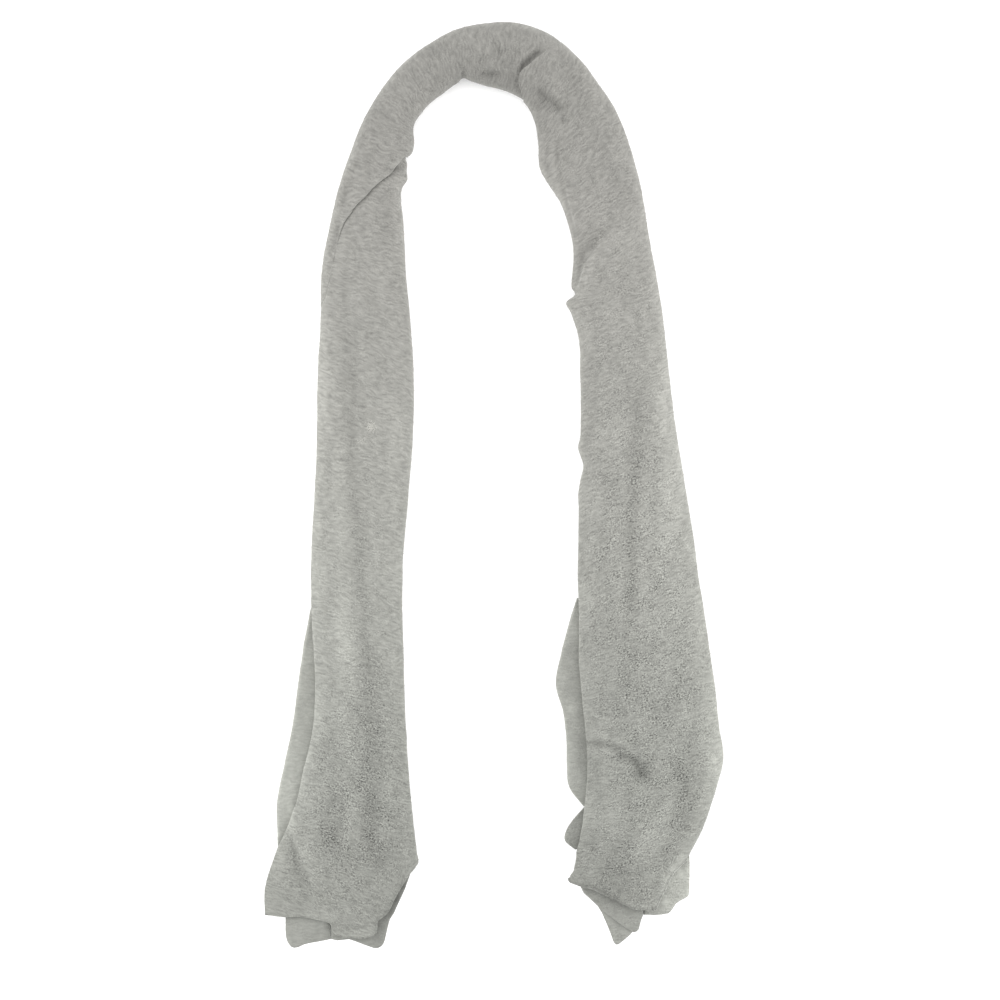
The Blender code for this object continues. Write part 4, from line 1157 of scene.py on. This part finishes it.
# %% The under folds
FOLD_GAP = 0.8  # between the fold and the cloth above it
THINNEST = 3.0
FILLS = 0.92  # the share of the room that it fills
TUCK_DEPTH = 11.5  # how far its two layers run in under the leg
TAPER = 18.0  # the fold flattens out over this much at each end
TAPERED = 0.35  # to this share of its height
FOLD_STEP = 1.8  # from one row to the next
OFF_THE_TABLE = 0.1
ROUND_POINTS, LAYER_POINTS = 13, 13  # across its round edge, and across each of its two layers
FOLD_WAVES, FOLD_CRINKLE = 0.35, 0.1  # mm
SHADE_UNDER_THE_FALL, INSIDE_AFTER = 0.10, 8  # painted shade under the fall above: the felt is drawn darker over this many mm from the fold inwards
# distance along, and how far the fold shows there
LEFT_UNDER_PEEK = [
    (-2, -2.0), (8, 3.5), (20, 9.0), (46, 19.3), (74, 20.8), (115, 21.0), (160, 18.3), (200, 11.6),
    (244, 0.5),
]
RIGHT_UNDER_PEEK = [
    (1453, 1.5), (1469, 7.4), (1512, 18.5), (1541, 25.0), (1565, 20.5), (1592, 19.5), (1620, 20.0),
    (1644, 16.2), (1664, 1.0),
]
RIGHT_TUCK_PEEK = [(1664, -1.0), (1680, 10.5), (1695, 15.0), (1702, 14.0), (1712, 1.0)]


def under_fold(name, peeks, from_inner, material, tone, grain, seed):
    """A doubled edge that shows beyond the fold above it."""
    table = np.array(peeks, float)
    alongs = np.arange(table[0, 0], table[-1, 0] + 0.1, FOLD_STEP)
    rib = rib_at(alongs)
    width = np.linalg.norm(rib[:, 2:4] - rib[:, 0:2], axis=-1)
    from_end = np.minimum(alongs - alongs[0], alongs[-1] - alongs)
    tapered = TAPERED + (1 - TAPERED) * ease(from_end / TAPER)
    radius = np.maximum(rib[:, 4] + BASE_DROP - FOLD_GAP, THINNEST) / 2 * FILLS * tapered
    fold = radius - smooth(table[:, 0], table[:, 1], alongs)
    turn = np.linspace(math.pi / 2, -math.pi / 2, ROUND_POINTS)
    flat = np.linspace(0, 1, LAYER_POINTS + 1)[:-1]
    upper = [TUCK_DEPTH + (fold - TUCK_DEPTH) * s for s in flat]
    round_it = [fold - radius * np.cos(angle) for angle in turn]
    up_and_over = [radius * (1 + np.sin(angle)) for angle in turn]
    near = np.stack(upper + round_it + upper[::-1], axis=1)
    lift = np.stack([2 * radius] * len(flat) + up_and_over + [0 * radius] * len(flat), axis=1)
    across = near / width[:, None]
    grid_along = np.broadcast_to(alongs[:, None], near.shape)
    x_y = plan(grid_along, 1 - across if from_inner else across)
    points = np.concatenate([x_y, lift[..., None] + OFF_THE_TABLE], axis=-1)
    if not from_inner:  # so that the faces point outwards on this side too
        points, grid_along, near, lift = points[::-1], grid_along[::-1], near[::-1], lift[::-1]
    u, v = lengths_across(points), true_lengths(points, grid_along)
    normals = grid_normals(points)
    wave = noise(u, v, 12, 16, seed) * FOLD_WAVES + noise(u, v, 6, 5, seed + 1) * FOLD_CRINKLE
    points = points + normals * (wave * ease(lift))[..., None]
    # painted shade, deeper under the fall that lies over the fold
    tone = tone * (1 - SHADE_UNDER_THE_FALL * np.clip(near / INSIDE_AFTER, 0, 1))
    return make_sheet(name, points, u, v, material, tone, grain, wall=FOLD_WALL)


left_under = under_fold("left_under_fold_cloth", LEFT_UNDER_PEEK, False, FOLD, 1.24, 0.15, 51)
right_under = under_fold("right_under_fold_cloth", RIGHT_UNDER_PEEK, True, FOLD, 1.17, 0.3, 53)
right_tuck = under_fold("right_tuck_cloth", RIGHT_TUCK_PEEK, True, FOLD, 0.84, 0.6, 55)

# %% [markdown]
# # Loose layers at the ends
# At each end the back layers come out from under the front one and lie on the table. Each is one patch
# between where it comes out, its two sides and its hem.

# %% Where the back layers come out, and their hems
CORE_END = 6.0  # the layers inside stop this far from the first and the last rib
LEFT_COMES_OUT = CORE_END - 0.5
RIGHT_COMES_OUT = END - CORE_END + 0.5
LEFT_BACK_OUTER_HEM = [
    (-204.7, -457.8), (-202.4, -460.6), (-199.5, -461.8), (-195.5, -461.2), (-188.5, -458), (-178.5, -456),
    (-168.5, -454.2), (-162.8, -452.8),
]
LEFT_BACK_INNER_HEM = [
    (-162.5, -452.8), (-156.5, -454.5), (-148.5, -453.5), (-144.5, -453), (-138.5, -455), (-127.5, -459.2),
    (-119.5, -462), (-115.5, -462), (-112.2, -460.2), (-110, -457.5),
]
RIGHT_SIDE_HEM = [
    (195.3, -408.5), (193.8, -410.8), (191, -412.5), (186, -415), (182.5, -417.6), (177.5, -425),
    (175, -427.3), (167.5, -428.5), (160.5, -429), (150, -428.5),
]
RIGHT_TIP_UPPER_HEM = [
    (145.2, -442.6), (143.4, -445), (140.8, -445.9), (138, -445.2), (124.2, -435.8), (114.5, -428.5),
    (108.5, -424), (103.5, -419), (90.3, -406.7),
]
RIGHT_TIP_LOWER_HEM = [
    (140.5, -444), (136.3, -449), (128, -456), (125, -458.3), (122.8, -458.6), (120.8, -457), (119.3, -454),
]
LAYER_ROWS, LAYER_COLUMNS = 48, 64
LAYER_FACE = 1.6  # mm from what the layer lies on to its outer face
UPPER_TIP_LEVEL = 2.3  # the upper of the two tips lies on the lower one
print("hems of the back layers from", LEFT_BACK_OUTER_HEM[0], "to", RIGHT_SIDE_HEM[0])

# %% A loose layer
LAYER_WAVES, LAYER_CRINKLE = 0.8, 0.15  # mm
EDGE_DROOP, EDGE_REACH = 0.6, 3.5  # its edges lie this much lower, over this far


def flat_layer(name, begin, outer_side, inner_side, hem, level, material, tone, grain, seed):
    """A loose layer: it comes out at a rib between two shares across, and ends in its hem. Its edges lie down
    a little. Tone is that of its outer side and of its inner one."""
    comes_out, shares = begin
    corners = plan(np.full(2, comes_out), np.array(shares))
    outer = [tuple(corners[0]), *outer_side, hem[0]]
    inner = [tuple(corners[1]), *inner_side, hem[-1]]
    w = np.linspace(0, 1, LAYER_ROWS)[:, None]
    s = np.linspace(0, 1, LAYER_COLUMNS)[None, :]
    side_o, side_i = line_point(outer, w[:, 0])[:, None], line_point(inner, w[:, 0])[:, None]
    chord = np.array(hem[0]) + (np.array(hem[-1]) - np.array(hem[0])) * s[..., None]
    bow = (line_point(hem, s[0])[None] - chord) * (w**2)[..., None]
    x_y = side_o + (side_i - side_o) * s[..., None] + bow
    x, y = x_y[..., 0], x_y[..., 1]
    wave = noise(x, y, 13, 60, seed) * LAYER_WAVES + noise(x, y, 7, 5, seed + 1) * LAYER_CRINKLE
    sideways = np.linalg.norm(side_i - side_o, axis=-1)
    lengthways = np.linalg.norm(np.subtract(outer[-1], outer[0]))
    from_edge = np.minimum(np.minimum(s, 1 - s) * sideways, (1 - w) * lengthways)
    z = level + LAYER_FACE + np.abs(wave) - EDGE_DROOP * (1 - ease(from_edge / EDGE_REACH))
    tone = tone[0] + (tone[1] - tone[0]) * s + np.zeros_like(z)
    points = np.concatenate([x_y, z[..., None]], axis=-1)
    if comes_out < END / 2:
        points, tone = points[:, ::-1], tone[:, ::-1]
    u, v = points[..., 0], points[..., 1]
    return make_sheet(name, points, u, v, material, tone, grain, wall=LOOSE_WALL)


print("a loose layer has", LAYER_ROWS * LAYER_COLUMNS, "points")

# %% The five back layers
# tones of each layer's outer and inner side: the left back layers are painted darker where another layer's
# edge lies over them, painted shade; the side layer is painted far paler, painted light against the fall's
# shade on it; the upper tip is painted darker, painted shade under the right hem
back_outer = flat_layer("left_back_outer_cloth", (LEFT_COMES_OUT, (0.10, 0.382)),
                        [(-206, -400), (-207.8, -425), (-208, -443), (-207.6, -450), (-206.3, -455)],
                        [(-162.8, -400)], LEFT_BACK_OUTER_HEM, 0.0, INNER, (1.03, 0.90), 0.2, 61)
back_inner = flat_layer("left_back_inner_cloth", (LEFT_COMES_OUT, (0.384, 0.93)),
                        [(-162.5, -380), (-162.5, -410), (-162.5, -430)],
                        [(-82.5, -386), (-88.5, -403), (-95.5, -418), (-99.5, -427), (-103.5, -433),
                         (-105.5, -440), (-107.5, -449), (-108.7, -454.5)],
                        LEFT_BACK_INNER_HEM, 0.0, INNER, (0.94, 0.80), 0.3, 63)
side_layer = flat_layer("right_side_layer_cloth", (RIGHT_COMES_OUT, (0.03, 0.40)),
                        [(195.9, -371), (196.2, -380), (196, -399.5), (195.8, -405)], [(150, -395)],
                        RIGHT_SIDE_HEM, 0.0, FOLD, (1.64, 1.14), 0.5, 65)
tip_upper = flat_layer("right_tip_upper_cloth", (RIGHT_COMES_OUT, (0.41, 0.90)),
                       [(150.5, -395), (149.5, -428.5), (147.2, -434.6), (145.9, -440)], [(80.5, -388)],
                       RIGHT_TIP_UPPER_HEM, UPPER_TIP_LEVEL, INNER, (0.90, 0.92), 0.45, 67)
tip_lower = flat_layer("right_tip_lower_cloth", (RIGHT_COMES_OUT, (0.45, 0.85)),
                       [(140.5, -400), (140.5, -438)],
                       [(97, -400), (103.5, -418.8), (108.5, -427), (114.5, -440.7), (118.4, -451)],
                       RIGHT_TIP_LOWER_HEM, 0.0, FOLD, (1.0, 1.0), 0.3, 69)

# %% [markdown]
# # The hidden layers
# Inside each leg the rest of the cloth's width lies folded to and fro. From above none of it shows, but from
# the side its folds do, below the wrapped edge. One sheet runs to and fro through six layers, as the real
# one does.

# %% The room inside a leg
LAYERS = 6
INSIDE_GAP = 4.9  # from the outer face of the leg to the layers inside
ROW_STEP = 6.0
FLAT_STEPS, ROUND_STEPS = 12, 9  # points along a layer, and round the fold at its end
WRAPPED_INSET, OPEN_INSET = 13.5, 6.0  # how far in they stay at the bottom, where a side is wrapped or open
LOWEST_LYING, LOWEST_LIFTED = 2.3, 0.75  # mm above the table, where the leg lies on it and where it does not
CEILING = 4.5  # from the top of the leg, at 0.4 of its crown, to the topmost layer


def inner_limit(z, rib, low_inset):
    """How far in from the fold the hidden layers stop at this height."""
    width = np.linalg.norm(rib[..., 2:4] - rib[..., 0:2], axis=-1)
    base, radius, crown = rib[..., 4], rib[..., 5] / 2, rib[..., 6]
    centre = base + radius
    half, top, round_in = width / 2 - INSIDE_GAP, radius + crown - INSIDE_GAP, radius - INSIDE_GAP
    up = np.clip((z - centre) / top, 0, 0.97)
    above = width / 2 - half * (1 - up**BOXINESS) ** (1 / BOXINESS)
    down = np.clip((centre - z) / round_in, 0, 1)
    below = INSIDE_GAP + round_in * (1 - np.sqrt(1 - down**2)) + 1.5 * down**3
    inside = np.where(z >= centre, above, below)
    under = 1 - ease((z - base - 0.4) / 2.5)
    return inside + (np.maximum(low_inset, inside) - inside) * under


half_way = rib_at(np.array([END / 2]))
print("inside the neck the layers stop", round(float(inner_limit(10.0, half_way, OPEN_INSET)[0]), 1), "mm in")


# %% Six layers, folded to and fro
def hidden_layers():
    """One sheet that runs to and fro through all the layers, folded round at each end of them."""
    alongs = np.arange(CORE_END, END - CORE_END, ROW_STEP)
    rib = rib_at(alongs)
    lifted = ease(rib[:, 4] / 4)
    lowest = LOWEST_LIFTED * lifted + LOWEST_LYING * (1 - lifted)
    highest = rib[:, 4] + rib[:, 5] + 0.4 * rib[:, 6] - CEILING
    levels = lowest + (highest - lowest) * np.linspace(0, 1, LAYERS)[:, None]
    left_leg = alongs < END / 2
    outer_low = np.where(left_leg, WRAPPED_INSET, OPEN_INSET)
    inner_low = np.where(left_leg, OPEN_INSET, WRAPPED_INSET)
    width = np.linalg.norm(rib[:, 2:4] - rib[:, 0:2], axis=-1)
    lateral, height = [], []
    gap = (levels[1] - levels[0]) / 2
    for k in range(LAYERS):
        inwards = k % 2 == 0  # every second layer runs back
        near = inner_limit(levels[k], rib, outer_low) + gap
        far = width - inner_limit(levels[k], rib, inner_low) - gap
        for s in np.linspace(0, 1, FLAT_STEPS) if inwards else np.linspace(1, 0, FLAT_STEPS):
            lateral.append(near + (far - near) * s)
            height.append(levels[k] + rib[:, 6] * 0.5 * s * (1 - s) * k / LAYERS)
        if k == LAYERS - 1:
            break
        here, there, out = near, inner_limit(levels[k + 1], rib, outer_low) + gap, -gap
        if inwards:
            here, there, out = far, width - inner_limit(levels[k + 1], rib, inner_low) - gap, gap
        for angle in np.linspace(0, math.pi, ROUND_STEPS)[1:-1]:
            t = (1 - math.cos(angle)) / 2
            lateral.append(here + (there - here) * t + out * math.sin(angle))
            height.append(levels[k] + (levels[k + 1] - levels[k]) * t)
    lateral, height = np.stack(lateral, axis=1), np.stack(height, axis=1)
    grid_along = np.broadcast_to(alongs[:, None], lateral.shape)
    points = np.concatenate([plan(grid_along, lateral / width[:, None]), height[..., None]], axis=-1)
    pressed = relief(points, ALL_CREASES)
    points[..., 2] += np.minimum(pressed, 0) * height / highest[:, None]
    u, v = lengths_across(points), grid_along
    sheet = make_sheet("hidden_layers_cloth", points, u, v, INNER, 0.95, 0.3, wall=LOOSE_WALL)
    sheet.modifiers[0].offset = 0.0  # this sheet is drawn at its middle
    return sheet


inside = hidden_layers()

# %% [markdown]
# # The nap
# Combing cashmere raises single hairs out of the felt. They lie nearly flat, so on top they are hardly seen,
# but along a fold they stand against the light and take the hardness out of the edge. Geometry Nodes set
# them: points are scattered over a sheet where its nap attribute says, and each gets one bent, tapered
# hair. A real hair is 0.015 mm thick, too fine to draw, so these are about ten times that.
#
# On the left leg somebody's ring has pulled a small pale tuft. It is the same tree, set much denser over a
# few millimetres.

# %% One hair
NAP_INPUTS = [("Where", "NodeSocketString", "nap"), ("Hairs per m2", "NodeSocketFloat", 15000.0),
              ("Shortest", "NodeSocketFloat", 0.003), ("Longest", "NodeSocketFloat", 0.008),
              ("Seed", "NodeSocketInt", 5)]
HAIR_SIDES, HAIR_STEPS = 3, 4
HAIR_RADIUS, HAIR_BEND = 0.016, 0.3  # shares of its length
HAIR_SWAY, LEAST_LEAN, MOST_LEAN = 0.2, 1.1, 1.4  # radians from upright


def napped_hair(name, hex_colour):
    """One cashmere hair: matt, a little paler than the felt, which shadows itself."""
    material = bpy.data.materials.new(name)
    material.use_nodes = True
    tree = material.node_tree
    tone = add_node(tree, "ShaderNodeAttribute", attribute_name="tone")
    tint = add_node(tree, VECTORS, {0: srgb(hex_colour)[:3], "Scale": (tone, "Fac")}, operation="SCALE")
    shader = tree.nodes["Principled BSDF"]
    tree.links.new(tint.outputs["Vector"], shader.inputs["Base Color"])
    shader.inputs["Roughness"].default_value = 0.9
    shader.inputs["Specular IOR Level"].default_value = 0.2
    return material


print("a hair has", HAIR_SIDES, "sides and", HAIR_STEPS, "steps")


# %% The tree that sets the hairs
def nap_tree(name, material):
    """Hairs scattered over a mesh. Returns the tree and its inputs' identifiers."""
    tree = bpy.data.node_groups.new(name, "GeometryNodeTree")
    tree.interface.new_socket("Mesh", in_out="INPUT", socket_type="NodeSocketGeometry")
    identifiers = {label: tree.interface.new_socket(label, in_out="INPUT", socket_type=kind).identifier
                   for label, kind, _ in NAP_INPUTS}
    tree.interface.new_socket("Hairs", in_out="OUTPUT", socket_type="NodeSocketGeometry")
    given = add_node(tree, "NodeGroupInput")
    # one hair, a metre long, bent towards +X
    hair = add_node(tree, "GeometryNodeMeshCone",
                    {"Vertices": HAIR_SIDES, "Side Segments": HAIR_STEPS, "Radius Top": HAIR_RADIUS / 6,
                     "Radius Bottom": HAIR_RADIUS, "Depth": 1.0}, fill_type="NGON")
    height = add_node(tree, "ShaderNodeSeparateXYZ", {0: add_node(tree, "GeometryNodeInputPosition")})
    squared = add_node(tree, MATHS, {0: (height, "Z"), 1: (height, "Z")}, operation="MULTIPLY")
    bend = add_node(tree, MATHS, {0: squared, 1: HAIR_BEND}, operation="MULTIPLY")
    offset = add_node(tree, "ShaderNodeCombineXYZ", {"X": bend})
    bent = add_node(tree, "GeometryNodeSetPosition",
                    {"Geometry": (hair, "Mesh"), "Offset": (offset, "Vector")})
    # where the hairs stand, and how they lie
    where = add_node(tree, "GeometryNodeInputNamedAttribute", {"Name": (given, "Where")}, data_type="FLOAT")
    density = add_node(tree, MATHS, {0: (where, "Attribute"), 1: (given, "Hairs per m2")},
                       operation="MULTIPLY")
    roots = add_node(tree, "GeometryNodeDistributePointsOnFaces",
                     {"Mesh": (given, "Mesh"), "Density": density, "Seed": (given, "Seed")})
    lean = add_node(tree, "FunctionNodeRandomValue",
                    {0: (-HAIR_SWAY, LEAST_LEAN, 0.0), 1: (HAIR_SWAY, MOST_LEAN, math.tau),
                     "Seed": (given, "Seed")}, data_type="FLOAT_VECTOR")
    turn = add_node(tree, "FunctionNodeEulerToRotation", {0: (lean, 0)})
    lie = add_node(tree, "FunctionNodeRotateRotation", {0: (roots, "Rotation"), 1: (turn, "Rotation")},
                   rotation_space="LOCAL")
    length = add_node(tree, "FunctionNodeRandomValue",
                      {2: (given, "Shortest"), 3: (given, "Longest"), "Seed": (given, "Seed")},
                      data_type="FLOAT")
    hairs = add_node(tree, "GeometryNodeInstanceOnPoints",
                     {"Points": (roots, "Points"), "Instance": (bent, "Geometry"), "Rotation": (lie, 0),
                      "Scale": (length, 1)})
    real = add_node(tree, "GeometryNodeRealizeInstances", {"Geometry": (hairs, "Instances")})
    done = add_node(tree, "GeometryNodeSetMaterial", {"Geometry": (real, "Geometry"), "Material": material})
    add_node(tree, "NodeGroupOutput", {0: (done, "Geometry")})
    return tree, identifiers


NAP = nap_tree("nap", napped_hair("cashmere_hair", "83827C"))
print("the nap's inputs:", sorted(NAP[1]))


# %% Raising the nap
def raise_nap(name, sheet, made_by, **changed):
    """A mesh of hairs on a sheet."""
    tree, identifiers = made_by
    ground = link_to_scene(name + "_ground", sheet.data)
    nodes = ground.modifiers.new("nap", "NODES")
    nodes.node_group = tree
    for label, _, value in NAP_INPUTS:
        nodes[identifiers[label]] = changed.get(label.split()[0].lower(), value)
    evaluated = ground.evaluated_get(bpy.context.evaluated_depsgraph_get())
    mesh = bpy.data.meshes.new_from_object(evaluated)
    ground.modifiers.remove(nodes)
    bpy.data.objects.remove(ground)
    mesh.name = name
    print(name, len(mesh.polygons) // (HAIR_SIDES * HAIR_STEPS + 2), "hairs")
    return link_to_scene(name, mesh)


left_nap = raise_nap("left_fall_nap", left_fall, NAP, seed=3)
neck_nap = raise_nap("neck_roll_nap", neck_roll, NAP, seed=4)
right_nap = raise_nap("right_fall_nap", right_fall, NAP, seed=5)

# %% The pulled tuft
Tuft = namedtuple("Tuft", "x y reach weight")
TUFTS = [Tuft(-122.5, 59.0, 2.9, 1.1), Tuft(-119.5, 56.5, 2.2, 1.0), Tuft(-128.0, 47.5, 2.0, 0.5),
         Tuft(-133.0, 44.0, 2.0, 0.4)]
TUFT_EDGE = 0.25  # below this it has no hairs
at = np.empty(len(left_fall.data.vertices) * 3)
left_fall.data.vertices.foreach_get("co", at)
x, y = at[0::3] / MM, at[1::3] / MM
pulled = sum(t.weight * np.exp(-((x - t.x) ** 2 + (y - t.y) ** 2) / t.reach**2) for t in TUFTS)
attribute = left_fall.data.attributes.new("tuft", "FLOAT", "POINT")
attribute.data.foreach_set("value", np.where(pulled > TUFT_EDGE, pulled, 0).astype(np.float32))
tuft = raise_nap("pulled_tuft", left_fall, nap_tree("tuft", napped_hair("cashmere_pulled_hair", "BEBDB7")),
                 where="tuft", hairs=3.6e6, shortest=0.0025, longest=0.005)

# %% Bodies, and what each piece stands for
PIECES = [
    # the sheet, its node, its slot, how it lies, what it rests on, and what is on it
    (left_fall, "left_fall", "cashmere_face", "laid", ["hidden_layers", "left_under_fold", "left_back_outer"],
     [left_nap, tuft]),
    (neck_roll, "neck_roll", "cashmere_face", "laid", ["hidden_layers", "left_fall"], [neck_nap]),
    (right_fall, "right_fall", "cashmere_face", "laid", ["hidden_layers", "neck_roll", "right_tip_upper"],
     [right_nap]),
    (left_under, "left_under_fold", "cashmere_fold", "folded", ["table_top"], []),
    (right_under, "right_under_fold", "cashmere_fold", "folded", ["table_top"], []),
    (right_tuck, "right_tuck", "cashmere_fold", "folded", ["table_top"], []),
    (back_outer, "left_back_outer", "cashmere_fold", "laid", ["table_top"], []),
    (back_inner, "left_back_inner", "cashmere_fold", "laid", ["table_top"], []),
    (side_layer, "right_side_layer", "cashmere_fold", "laid", ["table_top"], []),
    (tip_upper, "right_tip_upper", "cashmere_fold", "laid", ["right_tip_lower"], []),
    (tip_lower, "right_tip_lower", "cashmere_fold", "laid", ["table_top"], []),
    (inside, "hidden_layers", "cashmere_inner", "folded", ["table_top"], []),
]
for piece, node, slot, held, rests_on, on_it in PIECES:
    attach(piece, "root")
    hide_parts(node)
    for extra in on_it:
        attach(extra, "root")
print("pieces:", len(PIECES), "and", sum(len(row[-1]) for row in PIECES), "that lie on them")
